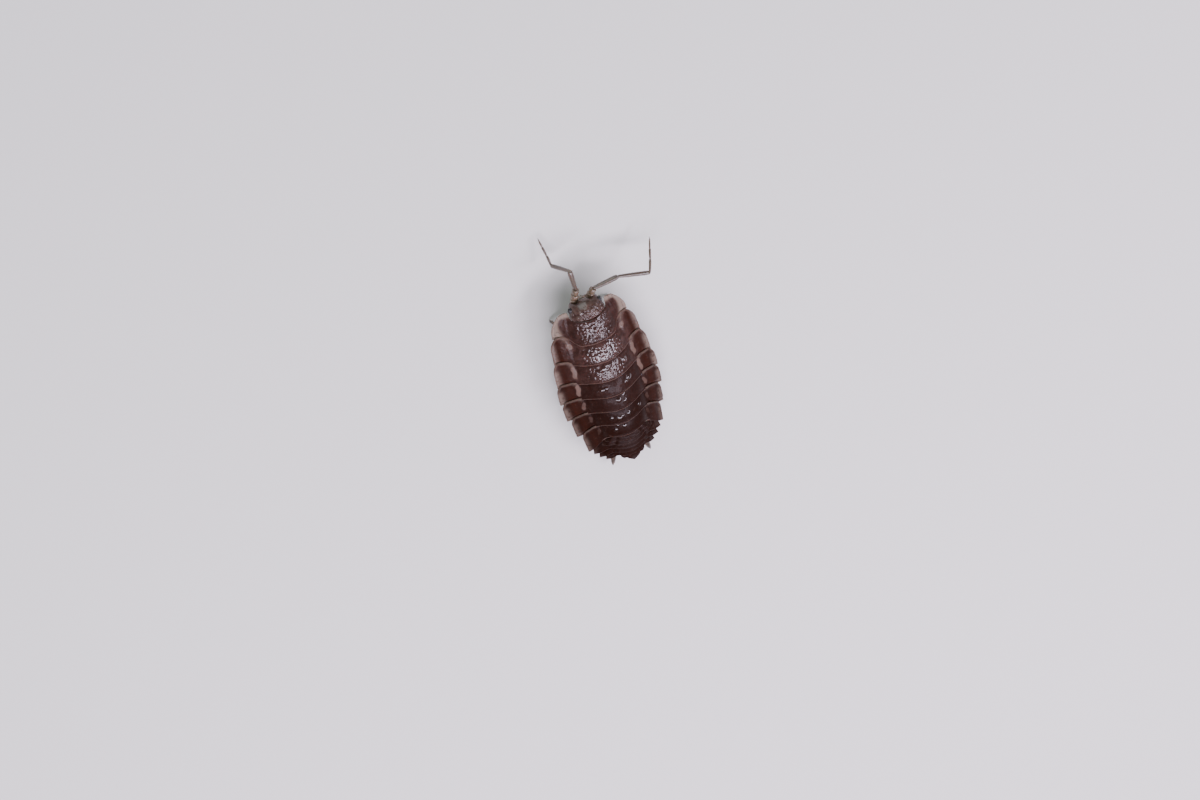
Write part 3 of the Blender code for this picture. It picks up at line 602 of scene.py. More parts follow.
def plate_place(form, marking, grain_height):
    """The place function of a plate for shaped_grid; it also leaves the masks on the object."""
    def place(obj, across, along):
        front_x = across * form.rim(0.0)
        rear_x = across * form.rim(1.0)
        end = form.rear(rear_x)
        x = across * form.rim(along)
        s = blend(form.front(front_x), end, along)
        share = np.abs(x) / form.half(along)
        side = (0.0 if form.with_tail else 1.0) * smooth_step(*CLIMB, share)
        to_front = (s - form.front(front_x)) / slant(form.front, front_x)
        to_rear = (end - s) / slant(form.rear, rear_x)
        to_rim = (1.0 - np.abs(across)) * form.rim(along)
        since = s - form.before(x) if form.before else np.full_like(s, LONG_SINCE)
        edge = np.minimum(np.minimum(to_front, to_rear), to_rim)
        shown = np.clip(since / np.maximum(0.2, end - s + since), 0.0, 1.0)
        open_share = np.maximum(shown, side)
        margin = np.minimum(to_front, to_rim)
        sink = (LIP + CLEAR) * (1.0 - shown) ** RISE_CURVE * (1.0 - side)
        if form.before:
            sink -= SIDE_RAISED * smooth_step(0.5, 0.0, to_front) * side
        if form.after:
            sink += SIDE_DIP * smooth_step(-0.25, 0.02, s - form.after(x)) * side
        sink -= BEAD_HEIGHT * hump(to_rear, BEAD_AT, BEAD_WIDTH) * (1.0 - side)
        sink -= 0.7 * BEAD_HEIGHT * hump(margin, BEAD_AT, BEAD_WIDTH) * side
        sink += side_relief(share) * smooth_step(0.0, 0.3, open_share) + round_edges(obj, edge)
        calm = smooth_step(0.03, 0.2, open_share) * smooth_step(0.05, 0.2, edge)
        amount = form.grain * blend(1.0, 0.16, smooth_step(0.4, 0.58, share))
        rough = beads(x, s, BUMPS, form.seed) + 0.4 * beads(x, s, FINE_BUMPS, form.seed + 1)
        lumps = knobs(x, s)
        sink -= grain_height / MM * amount * calm * rough + KNOB_HEIGHT * lumps
        middle = smooth_step(0.52, 0.3, share)
        middle = middle * smooth_step(0.06, 0.32, since) * smooth_step(0.08, 0.42, to_rear)
        wet = np.maximum(blend(0.08, 1.0, middle) * form.wet, smooth_step(0.1, 0.4, lumps))
        here = SimpleNamespace(far=np.abs(x), s=s, share=share, since=since, side=side, margin=margin,
                               to_front=to_front, to_rear=to_rear, to_rim=to_rim)
        # deep carries the plate's share of painted shade
        set_marks(obj, wet=wet, deep=marking.deep, **paint_plate(marking, here))
        new_x, d = surface(x, s, sink)
        return bend(new_x, s, d, form.with_tail)
    return place


def lobe_front(far):
    """Front edge of the first plate's forward lobes."""
    return LOBE_FRONT + LOBE_ROUND * np.maximum(0.0, far - LOBE_FROM) ** 2


def paint_plate(marking, here):
    """Masks of the markings: pale patches and outer bands, red-brown hearts, thin pale lines."""
    half = np.maximum(1.0, here.far) / np.maximum(0.01, here.share)
    waver = 0.03 * np.sin(9.0 * here.since + 40.0 * marking.start)
    aside = np.abs((here.share - PATCH_AT) * half + waver) / marking.width
    past_middle = here.since - marking.start - 0.5 * marking.length + 0.06 * np.sin(14.0 * here.far)
    behind = np.abs(past_middle) / (0.5 * marking.length)
    patch = smooth_step(1.35, 0.45, aside ** 2.6 + behind ** 2.6)
    line = smooth_step(*LINE_FADE, here.to_rear)
    if marking.lobe:
        reach = blend(0.6, 0.28, smooth_step(0.1, 1.7, here.to_rear))
        band = np.minimum(here.s - lobe_front(here.far), here.to_rim)
        outer = smooth_step(1.5, 0.8, band / reach)
        heart = hump(here.share, 0.68, 0.1) * smooth_step(0.3, 0.7, here.margin)
    else:
        outer = smooth_step(0.84, 0.96, here.share) * smooth_step(0.05, 0.6, here.since) * marking.outer
        outer = np.maximum(outer, ARCH_PALE * here.side * smooth_step(0.3, 0.08, here.margin))
        heart = hump(here.share, marking.heart_at, 0.085) * smooth_step(0.1, 0.34, here.to_front) * here.side
        rim_line = here.side * smooth_step(*RIM_LINE_FADE, here.margin)
        line = np.maximum(line * (1.0 - here.side), rim_line)
    return {"pale": outer, "patch": marking.patch * patch, "heart": marking.heart * heart,
            "line": marking.line * line}


def make_plate(name, node, form, marking, columns, rows, shell):
    """A thin shell plate with rounded edges, low grain and its markings."""
    obj = shaped_grid(name, columns, rows, plate_place(form, marking, shell.grain))
    apply_modifier(obj, "SOLIDIFY", thickness=shell.thickness, offset=-1.0, vertex_group="wall",
                   thickness_vertex_group=0.08)
    finish_piece(name, [obj], "shell", "shell", node)


# The deep shares are painted shade, growing towards the rear plates
BODY_MARKINGS = (
    Marking(lobe=True, heart=0.3, deep=0.3),
    Marking(patch=1.0, start=0.38, length=0.5, width=0.19, outer=0.4, heart_at=0.82, deep=0.05),
    Marking(patch=1.0, start=0.06, length=1.15, width=0.14, outer=0.6, heart_at=0.79, deep=0.3),
    Marking(patch=1.0, start=-0.05, length=1.1, width=0.14, outer=0.6, deep=0.75),
    Marking(patch=0.6, start=0.28, length=0.68, width=0.13, outer=0.45, deep=0.85),
    Marking(patch=0.25, start=0.25, length=0.6, width=0.11, outer=0.35, heart=0.7),
    Marking(patch=0.15, start=0.25, length=0.55, width=0.1, outer=0.3, heart=0.5),
)
# The tail plates take the full painted shade
TAIL_MARKING = Marking(outer=0.12, heart=0.3, line=0.45)


def seat_edge(x):
    """Front edge of the first plate: a seat for the head between two round forward lobes."""
    far = np.abs(x)
    seat = SEAT_REAR - SEAT_FORWARD * (far / SEAT_HALF_WIDTH) ** 2
    return blend(seat, lobe_front(far), smooth_step(SEAT_HALF_WIDTH, LOBE_FROM, far))


def body_forms():
    """The seven body plates' forms."""
    rears = [rear_edge(*values) for values in zip(PLATE_REAR, CORNER_BACK, HALF_WIDTH, CORNER_TO)]
    fronts = [seat_edge]
    halves = [(FIRST_FRONT_HALF_WIDTH, HALF_WIDTH[0])]
    for rear, before_half, half, height in zip(rears, HALF_WIDTH, HALF_WIDTH[1:], ARCH_HEIGHT):
        front_half = blend(before_half, half, FRONT_WIDTH_SHARE)
        fronts.append(arched_front(rear, front_half, height))
        halves.append((front_half, half))
    forms = []
    for number, shape in enumerate(zip(fronts, rears, halves, CORNER_ROUND, CORNER_REACH)):
        forms.append(PlateForm(*shape, (None, *rears)[number], (*fronts[1:], None)[number],
                               grain=BODY_GRAIN[number], wet=BODY_WET[number], seed=11 + 3 * number))
    return forms


def further_back(one, other):
    return lambda x: np.maximum(one(x), other(x))


def telson_rear(x):
    """Rear edge of the end plate: a drawn-out point between hollow shoulders."""
    point = np.maximum(0.0, 1.0 - np.abs(x) / TELSON_HALF_WIDTH) ** TELSON_HOLLOW
    return blend(TELSON_SHOULDER, TELSON_TIP, point)


def tail_forms(last_rear):
    """The five tail plates' forms and the end plate's."""
    rears = [rear_edge(*values) for values in zip(TAIL_REAR, TAIL_CORNER_BACK, TAIL_HALF_WIDTH)]
    befores = [last_rear, *rears]
    halves = [(half - 0.12, half) for half in TAIL_HALF_WIDTH]
    halves.append((TELSON_HALF_WIDTH, 0.88 * TELSON_HALF_WIDTH))
    forms = []
    for number, (before, rear, half) in enumerate(zip(befores, (*rears, telson_rear), halves)):
        is_end = rear is telson_rear
        forms.append(PlateForm(lambda x, edge=before: edge(x) - TAIL_TUCK, rear, half,
                               0.0 if is_end else TAIL_CORNER_ROUND, with_tail=True,
                               before=before if is_end else further_back(before, last_rear),
                               seed=71 if is_end else 51 + 3 * number))
    return forms


def turned_form(steps, sides=12):
    """The mesh of a closed form along Z, one unit long and wide: a disc extruded and resized step by step."""
    bpy.ops.mesh.primitive_circle_add(vertices=sides, radius=steps[0][1], fill_type="NGON")
    obj = bpy.context.object
    bpy.ops.object.mode_set(mode="EDIT")
    bpy.ops.mesh.select_all(action="SELECT")
    for (height, radius), (next_height, next_radius) in zip(steps, steps[1:]):
        bpy.ops.mesh.extrude_region_move(TRANSFORM_OT_translate={"value": (0.0, 0.0, next_height - height)})
        ratio = next_radius / radius
        bpy.ops.transform.resize(value=(ratio, ratio, 1.0), center_override=(0.0, 0.0, next_height))
    bpy.ops.mesh.select_all(action="SELECT")
    bpy.ops.mesh.normals_make_consistent(inside=False)
    bpy.ops.object.mode_set(mode="OBJECT")
    apply_modifier(obj, "SUBSURF", levels=1, render_levels=1)
    return mesh_alone(obj)


def mesh_alone(obj):
    """An object's mesh, kept as a template for copies; the object goes."""
    mesh = obj.data
    bpy.data.objects.remove(obj)
    return mesh


def put_copy(template, place):
    """A new object with a copy of a mesh, moved by a matrix."""
    obj = bpy.data.objects.new(template.name, template.copy())
    bpy.context.scene.collection.objects.link(obj)
    obj.data.transform(place)
    return obj


def stretch(x, y, z):
    return Matrix.Diagonal((x, y, z, 1.0))


def copy_between(template, start, end, width, thickness=None, tone=0.0, dark=0.0, early=0.0):
    """A copy of a turned form from a little before start to end, with masks for its material."""
    start = start - (end - start).normalized() * early * MM
    way = end - start
    side = way.cross(UP).normalized()
    turn = Matrix((side, side.cross(way).normalized(), way.normalized())).transposed().to_4x4()
    size = stretch(width * MM, (thickness or width) * MM, way.length)
    obj = put_copy(template, Matrix.Translation(start) @ turn @ size)
    set_marks(obj, tone=tone, dark=dark)
    return obj


def bristles(template, start, end, width, count, length, rng, tone, down=False):
    """Short spines along an article: under it, or all round it."""
    way = (end - start).normalized()
    side = way.cross(UP).normalized()
    under = side.cross(way) * -1.0
    spread = 0.9 if down else math.pi
    made = []
    for number in range(count):
        root = start.lerp(end, (number + rng.uniform(0.3, 0.9)) / count)
        turn = rng.uniform(-spread, spread)
        out = math.cos(turn) * under + math.sin(turn) * side
        root += out * width * MM * 0.8
        tip = root + (out + way * BRISTLE_LEAN).normalized() * length * MM * rng.uniform(0.7, 1.3)
        made.append(copy_between(template, root, tip, BRISTLE_WIDTH[down], tone=tone))
    return made


def add_node(tree, kind, inputs=None, **values):
    """A node with its settings, and its inputs linked to sockets or set to values."""
    node = tree.nodes.new(kind)
    for name, value in values.items():
        setattr(node, name, value)
    for name, value in (inputs or {}).items():
        if isinstance(value, bpy.types.NodeSocket):
            tree.links.new(value, node.inputs[name])
        else:
            node.inputs[name].default_value = value
    return node


def make_group(name, *numbers):
    """A shader node group that takes a vector and these numbers and gives one number."""
    tree = bpy.data.node_groups.new(name, "ShaderNodeTree")
    tree.interface.new_socket("Vector", in_out="INPUT", socket_type="NodeSocketVector")
    for number in numbers:
        tree.interface.new_socket(number, in_out="INPUT", socket_type="NodeSocketFloat")
    tree.interface.new_socket("Result", in_out="OUTPUT", socket_type="NodeSocketFloat")
    return tree, tree.nodes.new("NodeGroupInput").outputs, tree.nodes.new("NodeGroupOutput").inputs["Result"]


def marbling_group():
    """Branching clouds of pigment, from 0 to 1."""
    tree, given, result = make_group("marbling", "Scale", "From", "To")
    warp = add_node(tree, "ShaderNodeTexNoise", {"Vector": given["Vector"], "Scale": 900.0, "Detail": 2.0})
    shift = add_node(tree, "ShaderNodeVectorMath", {0: warp.outputs["Color"], 1: 3 * (0.0004,)},
                     operation="MULTIPLY")
    moved = add_node(tree, "ShaderNodeVectorMath", {0: given["Vector"], 1: shift.outputs["Vector"]})
    noise = add_node(tree, "ShaderNodeTexNoise", {"Vector": moved.outputs["Vector"], "Scale": given["Scale"],
                                                  "Detail": 4.0, "Roughness": 0.6})
    ramp = add_node(tree, "ShaderNodeMapRange", {"Value": noise.outputs["Fac"], "From Min": given["From"],
                                                 "From Max": given["To"]}, interpolation_type="SMOOTHSTEP")
    tree.links.new(ramp.outputs["Result"], result)
    return tree


def grain_group():
    """Fine relief of horn: pits and wrinkles, as a height from 0 to 1."""
    tree, given, result = make_group("horn grain", "Scale", "Wrinkles")
    cells = add_node(tree, "ShaderNodeTexVoronoi", {"Vector": given["Vector"], "Scale": given["Scale"]},
                     feature="SMOOTH_F1")
    coarser = add_node(tree, "ShaderNodeMath", {0: given["Scale"], 1: 0.4}, operation="MULTIPLY")
    noise = add_node(tree, "ShaderNodeTexNoise", {"Vector": given["Vector"], "Detail": 5.0,
                                                  "Scale": coarser.outputs["Value"]})
    mix = add_node(tree, "ShaderNodeMix", {"Factor": given["Wrinkles"], "A": cells.outputs["Distance"],
                                           "B": noise.outputs["Fac"]}, data_type="FLOAT")
    tree.links.new(mix.outputs["Result"], result)
    return tree


class Paint:
    """A new material, with short ways to add the nodes that feed its shader."""

    def __init__(self, name, groups):
        self.material = bpy.data.materials.new(name)
        self.material.use_nodes = True
        self.tree = self.material.node_tree
        self.shader = self.tree.nodes["Principled BSDF"]
        self.coordinates = self.tree.nodes.new("ShaderNodeTexCoord").outputs["Object"]
        self.groups = groups

    def pattern(self, group, **values):
        """What a node group gives at each place."""
        inputs = {"Vector": self.coordinates, **values}
        node = add_node(self.tree, "ShaderNodeGroup", inputs, node_tree=self.groups[group])
        return node.outputs["Result"]

    def marbling(self, scale, start, end):
        return self.pattern("marbling", Scale=scale, From=start, To=end)

    def mark(self, name):
        """The mask that a piece carries under this name."""
        return add_node(self.tree, "ShaderNodeAttribute", attribute_name=name).outputs["Fac"]

    def spread(self, value, low, high):
        """A value from 0 to 1 brought between two others."""
        inputs = {"Value": value, "To Min": low, "To Max": high}
        return add_node(self.tree, "ShaderNodeMapRange", inputs).outputs["Result"]

    def times(self, first, second):
        return add_node(self.tree, "ShaderNodeMath", {0: first, 1: second}, operation="MULTIPLY").outputs[0]

    def mix(self, share, first, second):
        """Colour between two; each is a plain colour or a socket."""
        inputs = {0: share}
        for index, colour in ((6, first), (7, second)):
            inputs[index] = colour if isinstance(colour, bpy.types.NodeSocket) else (*colour, 1.0)
        return add_node(self.tree, "ShaderNodeMix", inputs, data_type="RGBA").outputs[2]

    def link(self, value, name):
        self.tree.links.new(value, self.shader.inputs[name])

    def relief(self, scale, wrinkles, distance, strength):
        """Fine relief of horn; distance in metres."""
        height = self.pattern("grain", Scale=scale, Wrinkles=wrinkles)
        inputs = {"Height": height, "Distance": distance, "Strength": strength}
        self.link(add_node(self.tree, "ShaderNodeBump", inputs).outputs["Normal"], "Normal")

    def finish(self, **values):
        """Sets the shader's plain values and gives the material; an underscore stands for a space."""
        for name, value in values.items():
            self.shader.inputs[name.replace("_", " ")].default_value = value
        return self.material


def shell_material(shell, groups):
    """Wet brown shell with clouds, pale patches, red-brown hearts, a thin pale rear line and painted shade on
    the rear plates.
    """
    paint = Paint("wet brown shell", groups)
    flecks = paint.marbling(5200.0, 0.58, 0.74)
    veins = paint.marbling(3600.0, 0.2, 0.5)
    layers = (
        # Painted shade first: the deep mark darkens the rear plates towards the deep colour
        (paint.mark("deep"), shell.deep),
        (paint.mark("heart"), shell.heart),
        (paint.times(flecks, 0.26), shell.rim),
        (paint.times(paint.mark("pale"), veins), shell.pale),
        (paint.times(paint.mark("patch"), paint.spread(veins, 0.62, 1.0)), shell.patch),
        (paint.times(paint.mark("line"), 0.55), shell.rim),
    )
    colour = paint.mix(paint.marbling(1900.0, 0.36, 0.64), shell.dark, shell.brown)
    for share, layer in layers:
        colour = paint.mix(share, colour, layer)
    paint.link(colour, "Base Color")
    paint.link(paint.spread(paint.marbling(3000.0, 0.3, 0.7), 0.3, 0.5), "Roughness")
    paint.link(paint.mark("wet"), "Coat Weight")
    paint.relief(15000.0, 0.45, 0.000012, 0.55)
    return paint.finish(Coat_Roughness=0.12, Coat_IOR=1.5, Specular_IOR_Level=0.05,
                        Subsurface_Weight=0.06, Subsurface_Scale=0.0003)


def limb_material(name, ground, limbs, groups, amount):
    """Horn of limbs: a pale ground with smoky marbling where the tone mask asks for it, dark tips."""
    paint = Paint(name, groups)
    clouds = paint.spread(paint.marbling(3600.0, 0.42, 0.6), 1.0 - amount, 1.0)
    colour = paint.mix(paint.times(clouds, paint.mark("tone")), ground, limbs.smoke)
    paint.link(paint.mix(paint.mark("dark"), colour, limbs.claw), "Base Color")
    paint.relief(20000.0, 0.6, 0.00001, 0.5)
    return paint.finish(Roughness=0.36, Coat_Weight=0.35, Coat_Roughness=0.16,
                        Subsurface_Weight=0.15, Subsurface_Scale=0.0003)


def eye_material(groups):
    """Black glossy beads."""
    paint = Paint("black eye", groups)
    paint.link(paint.mix(paint.marbling(8000.0, 0.45, 0.62), (0.004, 0.0035, 0.0035), (0.012, 0.009, 0.008)),
               "Base Color")
    return paint.finish(Roughness=0.28, Coat_Weight=0.3, Coat_Roughness=0.1)


def floor_material(colour, groups):
    """Pale matt floor with a barely seen paper grain."""
    paint = Paint("pale floor", groups)
    shade = paint.times(paint.marbling(220.0, 0.2, 0.8), 0.12)
    paint.link(paint.mix(shade, colour, [0.93 * value for value in colour]), "Base Color")
    return paint.finish(Roughness=0.75)


MATERIALS = {}


def make_materials(scene):
    """All materials, by the short names that the operators use."""
    limbs = scene.woodlouse_limbs
    groups = {"marbling": marbling_group(), "grain": grain_group()}
    MATERIALS["shell"] = shell_material(scene.woodlouse_shell, groups)
    MATERIALS["leg"] = limb_material("leg horn", limbs.horn, limbs, groups, 0.7)
    MATERIALS["feeler"] = limb_material("feeler horn", limbs.horn, limbs, groups, 0.35)
    MATERIALS["belly"] = limb_material("belly skin", limbs.flesh, limbs, groups, 0.8)
    MATERIALS["eye"] = eye_material(groups)
    MATERIALS["floor"] = floor_material(scene.woodlouse_studio.floor, groups)


class WOODLOUSE_OT_body_plates(bpy.types.Operator):
    """Model the seven plates of the back"""

    bl_idname = "woodlouse.body_plates"
    bl_label = "Body plates"

    def execute(self, context):
        shell = context.scene.woodlouse_shell
        for number, (form, marking) in enumerate(zip(body_forms(), BODY_MARKINGS), 1):
            make_plate(f"back_plate_{number}", f"pereonite_{number}", form, marking, shell.columns,
                       shell.rows, shell)
        return {"FINISHED"}


class WOODLOUSE_OT_tail_plates(bpy.types.Operator):
    """Model the five tail plates and the end plate"""

    bl_idname = "woodlouse.tail_plates"
    bl_label = "Tail plates"

    def execute(self, context):
        numbers = range(1, len(TAIL_REAR) + 1)
        names = [(f"tail_plate_{number}", f"pleonite_{number}") for number in numbers]
        names.append(("end_plate", "telson"))
        for (name, node), form in zip(names, tail_forms(body_forms()[-1].rear)):
            make_plate(name, node, form, TAIL_MARKING, *TAIL_PLATE_FACES, context.scene.woodlouse_shell)
        return {"FINISHED"}


def leg_root(number, side):
    """Where a leg leaves the belly: x, s and d on the straight body."""
    front_s = PLATE_REAR[number - 1] - 0.33 if number else SEAT_REAR + 0.5
    s = 0.5 * (front_s + PLATE_REAR[number] - 0.7)
    return side * LEG_ROOT_SHARE * HALF_WIDTH[number], s, BELLY[number]


def belly_place(obj, across, along):
    """The soft belly: grooves between the plates, swellings round the legs' roots, edges at the plates."""
    s = blend(*UNDERSIDE_ENDS, along)
    x = across * UNDERSIDE_WIDTH * half_width_at(s)
    x = x * smooth_step(15.6, 12.6, s) * smooth_step(-0.6, 3.0, s)
    deep = np.interp(s, BELLY_AT, BELLY_DEPTHS)
    for rear in PLATE_REAR:
        fold = hump(s, rear - FOLD_BEFORE_REAR, FOLD_WIDTH)
        deep -= BELLY_RELIEF * fold * (1.0 - 0.5 * np.abs(across))
    for number in range(len(PLATE_REAR)):
        for side in SIDES.values():
            root_x, root_s, _ = leg_root(number, side)
            deep += BELLY_RELIEF * hump(x, root_x, SWELLING_WIDTH) * hump(s, root_s, SWELLING_WIDTH)
    _, edge = surface(x, s, 2.0 * LIP + CLEAR + 0.12)
    set_marks(obj, tone=0.3 + 0.4 * np.abs(across), dark=0.0)
    return bend(x, s, blend(deep, edge, smooth_step(0.72, 1.0, np.abs(across))))


class WOODLOUSE_OT_underside(bpy.types.Operator):
    """Model the soft belly between the legs"""

    bl_idname = "woodlouse.underside"
    bl_label = "Underside"

    def execute(self, context):
        obj = shaped_grid("underside", *UNDERSIDE_FACES, belly_place)
        apply_modifier(obj, "SOLIDIFY", thickness=UNDERSIDE_THICKNESS * MM, offset=1.0)
        nodes = (f"pereonite_{number}" for number in range(1, len(PLATE_REAR) + 1))
        finish_piece("underside", [obj], "belly", "gill", *nodes)
        return {"FINISHED"}


def head_front(x):
    """Front edge of the head seen from above: median lobe, notches, side lobes."""
    far = np.abs(x)
    notch = NOTCH_DEPTH * hump(far, NOTCH_AT, NOTCH_WIDTH)
    beyond = np.maximum(0.0, (far - SIDE_LOBE_FROM) / (HEAD_HALF_WIDTH - SIDE_LOBE_FROM))
    return HEAD_FRONT + notch + SIDE_LOBE_BACK * beyond ** SIDE_LOBE_CURVE


def head_top(x, s):
    """Depth of the head's top: level with the first plate behind, rounded off to the sides and the front."""
    _, depth = surface(x, s, 0.03)
    behind = s + SEAT_FORWARD * (x / SEAT_HALF_WIDTH) ** 2
    level = smooth_step(SEAM[0] - 0.7, SEAM[0], behind)
    depth = depth + 0.3 * (np.abs(x) / HEAD_HALF_WIDTH) ** 3 * (1.0 - level)
    depth = depth + 0.5 * np.maximum(0.0, (1.25 - s) / (1.25 - HEAD_FRONT)) ** 2
    depth = depth + 0.5 * LIP * smooth_step(*SEAM, behind)
    return depth + LIP * smooth_step(SEAM[1], SEAM[1] + 0.13, behind)


def shape_head(obj, grain_height):
    """Turns a ball into the head: outline from above, domed top, steep face, narrow throat."""
    ball = points_of(obj)
    side, forward, high = ball[:, 0], -ball[:, 1], ball[:, 2]
    chord = np.sqrt(np.maximum(1e-6, 1.0 - side * side))
    back_share = 0.5 - 0.5 * np.clip(forward / chord, -1.0, 1.0)
    x = side * HEAD_HALF_WIDTH
    front = head_front(x)
    rear = HEAD_NECK_END - 0.5 * np.abs(side) ** 4
    s = blend(front, rear, back_share)
    x = x * (1.0 - 0.12 * smooth_step(1.7, 2.1, s))
    top = head_top(x, s)
    rim = top + 0.2
    from_front = s - front
    chin = HEAD_DEPTH - (HEAD_DEPTH - 1.1) * 0.6 * np.abs(side) ** 3
    face = blend(rim, chin, smooth_step(-0.1, 0.42, from_front) ** 0.8)
    up = np.sin(0.5 * np.pi * np.clip(high / 0.45, 0.0, 1.0))
    down = np.sin(0.5 * np.pi * np.clip(-high / 0.4, 0.0, 1.0))
    rough = beads(x, s, BUMPS, 5) + 0.5 * beads(x, s, FINE_BUMPS, 6)
    calm = up * smooth_step(0.22, 0.5, from_front) * smooth_step(1.88, 1.75, s)
    d = np.where(high > 0.0, blend(rim, top, up) - grain_height / MM * 1.15 * rough * calm,
                 blend(rim, face, down))
    x = x * (1.0 - 0.2 * down * (d - rim) / HEAD_DEPTH)
    put_points(obj, bend(x, s, d))
    pale = 0.55 * (1.0 - up) * (1.0 - down) * smooth_step(0.6, 1.0, np.abs(side)) + 0.2 * rough * calm
    # Painted highlight: the top of the head's front is lightened where it faces the light
    pale = pale + 0.2 * smooth_step(0.75, 0.25, from_front) * (1.0 - side * side) * up
    wet = blend(0.75, 0.5, smooth_step(0.3, 0.9, from_front))
    # The head takes a little painted shade as well
    set_marks(obj, pale=np.clip(pale + 0.8 * down, 0.0, 1.0), deep=0.1, wet=wet)


class WOODLOUSE_OT_head(bpy.types.Operator):
    """Model the head with its lobes and the feelers' sockets"""

    bl_idname = "woodlouse.head"
    bl_label = "Head"

    def execute(self, context):
        columns, rows = HEAD_FACES
        bpy.ops.mesh.primitive_uv_sphere_add(segments=columns, ring_count=rows, radius=1.0)
        made = [bpy.context.object]
        shape_head(made[0], context.scene.woodlouse_shell.grain)
        round_faces, across_faces = SOCKET_FACES
        radius, thickness = SOCKET_RADII
        for side in SIDES.values():
            bpy.ops.mesh.primitive_torus_add(major_segments=round_faces, minor_segments=across_faces,
                                             major_radius=radius * MM, minor_radius=thickness * MM)
            ring = bpy.context.object
            turn = Vector((0.05 * side, -1.0, 0.25)).to_track_quat("Z", "Y").to_matrix().to_4x4()
            ring.data.transform(Matrix.Translation(at(side * SOCKET_AT[0], *SOCKET_AT[1:])) @ turn)
            set_marks(ring, pale=0.8, deep=0.0, wet=0.5)
            made.append(ring)
        finish_piece("head_shield", made, "shell", "head_shell", "head")
        return {"FINISHED"}


class WOODLOUSE_OT_eyes(bpy.types.Operator):
    """Model the two eyes, each a patch of beads"""

    bl_idname = "woodlouse.eyes"
    bl_label = "Eyes"

    def execute(self, context):
        bpy.ops.mesh.primitive_ico_sphere_add(subdivisions=2, radius=1.0)
        bead = mesh_alone(bpy.context.object)
        x, s = EYE_AT
        bed_size = stretch(*EYE_RADII)
        bead_size = stretch(*EYE_BEAD)
        for side_name, side in SIDES.items():
            centre = at(side * x, s, head_top(side * x, s) + 0.03)
            turn = Matrix.Rotation(math.radians(side * EYE_LEAN), 4, "Y")
            place = Matrix.Translation(centre) @ turn @ Matrix.Scale(MM, 4)
            bpy.ops.mesh.primitive_uv_sphere_add(segments=32, ring_count=20, radius=1.0)
            made = [bpy.context.object]
            made[0].data.transform(place @ bed_size)
            for row in range(-3, 4):
                count = 6 - abs(row)
                for column in range(count):
                    aside = (column - 0.5 * (count - 1)) * EYE_BEAD_SPACING[0]
                    back = row * EYE_BEAD_SPACING[1]
                    rest = 1.0 - aside * aside - back * back
                    if rest >= 0.0:
                        spot = bed_size @ Vector((aside, back, math.sqrt(rest)))
                        made.append(put_copy(bead, place @ Matrix.Translation(spot) @ bead_size))
            finish_piece(f"eye_beads_{side_name}", made, "eye", "eye", f"eye_{side_name}")
        return {"FINISHED"}


class WOODLOUSE_OT_mouthparts(bpy.types.Operator):
    """Model the jaws and the plates that close the mouth"""

    bl_idname = "woodlouse.mouthparts"
    bl_label = "Mouthparts"

    def execute(self, context):
        forms = {"article": turned_form(ARTICLE, 16), "claw": turned_form(CLAW)}
        made = []
        jaws = [(1, LIP_PLATE), *((side, jaw) for side in SIDES.values() for jaw in JAWS)]
        for side, (form, (x, s, d), (end_x, end_s, end_d), *sizes) in jaws:
            start = at(side * x, s, d)
            made.append(copy_between(forms[form], start, at(side * end_x, end_s, end_d), *sizes))
        finish_piece("jaws", made, "feeler", "jaws", "mouthparts")
        return {"FINISHED"}


def before_head(place):
    """A feeler's joint, told from the middle of the head's front edge."""
    left, forward, height = place
    front = at(0.0, HEAD_FRONT, 0.0)
    return Vector((left * MM + front.x, front.y - forward * MM, height * MM))


class WOODLOUSE_OT_feelers(bpy.types.Operator):
    """Model both feelers: five articles of the stalk, three of the whip, and the small pair between"""

    bl_idname = "woodlouse.feelers"
    bl_label = "Feelers"

    def execute(self, context):
        article = turned_form(ARTICLE, 16)
        spear = turned_form(SPEAR)
        rng = random.Random(3)
        for side_name in SIDES:
            stalk = [before_head(place) for place in STALK[side_name]]
            whip = [stalk[-1], *(before_head(place) for place in WHIP[side_name])]
            made = []
            for start, end, width, tone in zip(stalk, stalk[1:], STALK_WIDTHS, STALK_TONES):
                made.append(copy_between(article, start, end, width, tone=tone, early=STALK_OVERLAP))
                count = int(STALK_BRISTLES_PER_MM * (end - start).length / MM)
                made += bristles(spear, start, end, width, count, STALK_BRISTLE, rng, 0.3)
            before, above, slimmer = KNUCKLE
            for joint, width in zip(stalk[1:], STALK_WIDTHS[1:]):
                begin = joint - (joint - stalk[0]).normalized() * before * MM
                made.append(copy_between(article, begin, joint + UP * above * MM, slimmer * width))
            finish_piece(f"feeler_{side_name}_stalk", made, "feeler", "feeler", f"antenna_{side_name}_stalk")
            made = []
            for form, start, end, width in zip((article, article, spear), whip, whip[1:], WHIP_WIDTHS):
                made.append(copy_between(form, start, end, width, tone=0.6, early=WHIP_OVERLAP))
                end = start.lerp(end, 0.75)
                made += bristles(spear, start, end, 0.8 * width, WHIP_BRISTLES, WHIP_BRISTLE, rng, 0.3)
            finish_piece(f"feeler_{side_name}_whip", made, "feeler", "feeler", f"antenna_{side_name}_whip")
        return {"FINISHED"}


def leg_joints(number, side_name):
    """Joints of one leg, from inside the belly to the floor, in metres."""
    side = SIDES[side_name]
    root_x, root_s, belly = leg_root(number, side)
    root = at(root_x, root_s, belly + 0.25, with_tail=False)
    angle = math.radians(LEG_ANGLE[side_name][number])
    reach = LEG_REACH[side_name][number] * MM
    joints = []
    for place, (share, height) in enumerate(zip(LEG_ARTICLES, LEG_HEIGHTS)):
        sweep = angle * (1.0 - LEG_TURN + LEG_TURN * share)
        raised = height * (LEG_LIFT[number] if place else 1.0)
        joints.append(Vector((root.x + side * reach * share * math.cos(sweep),
                              root.y + reach * share * math.sin(sweep), root.z * raised)))
    return joints


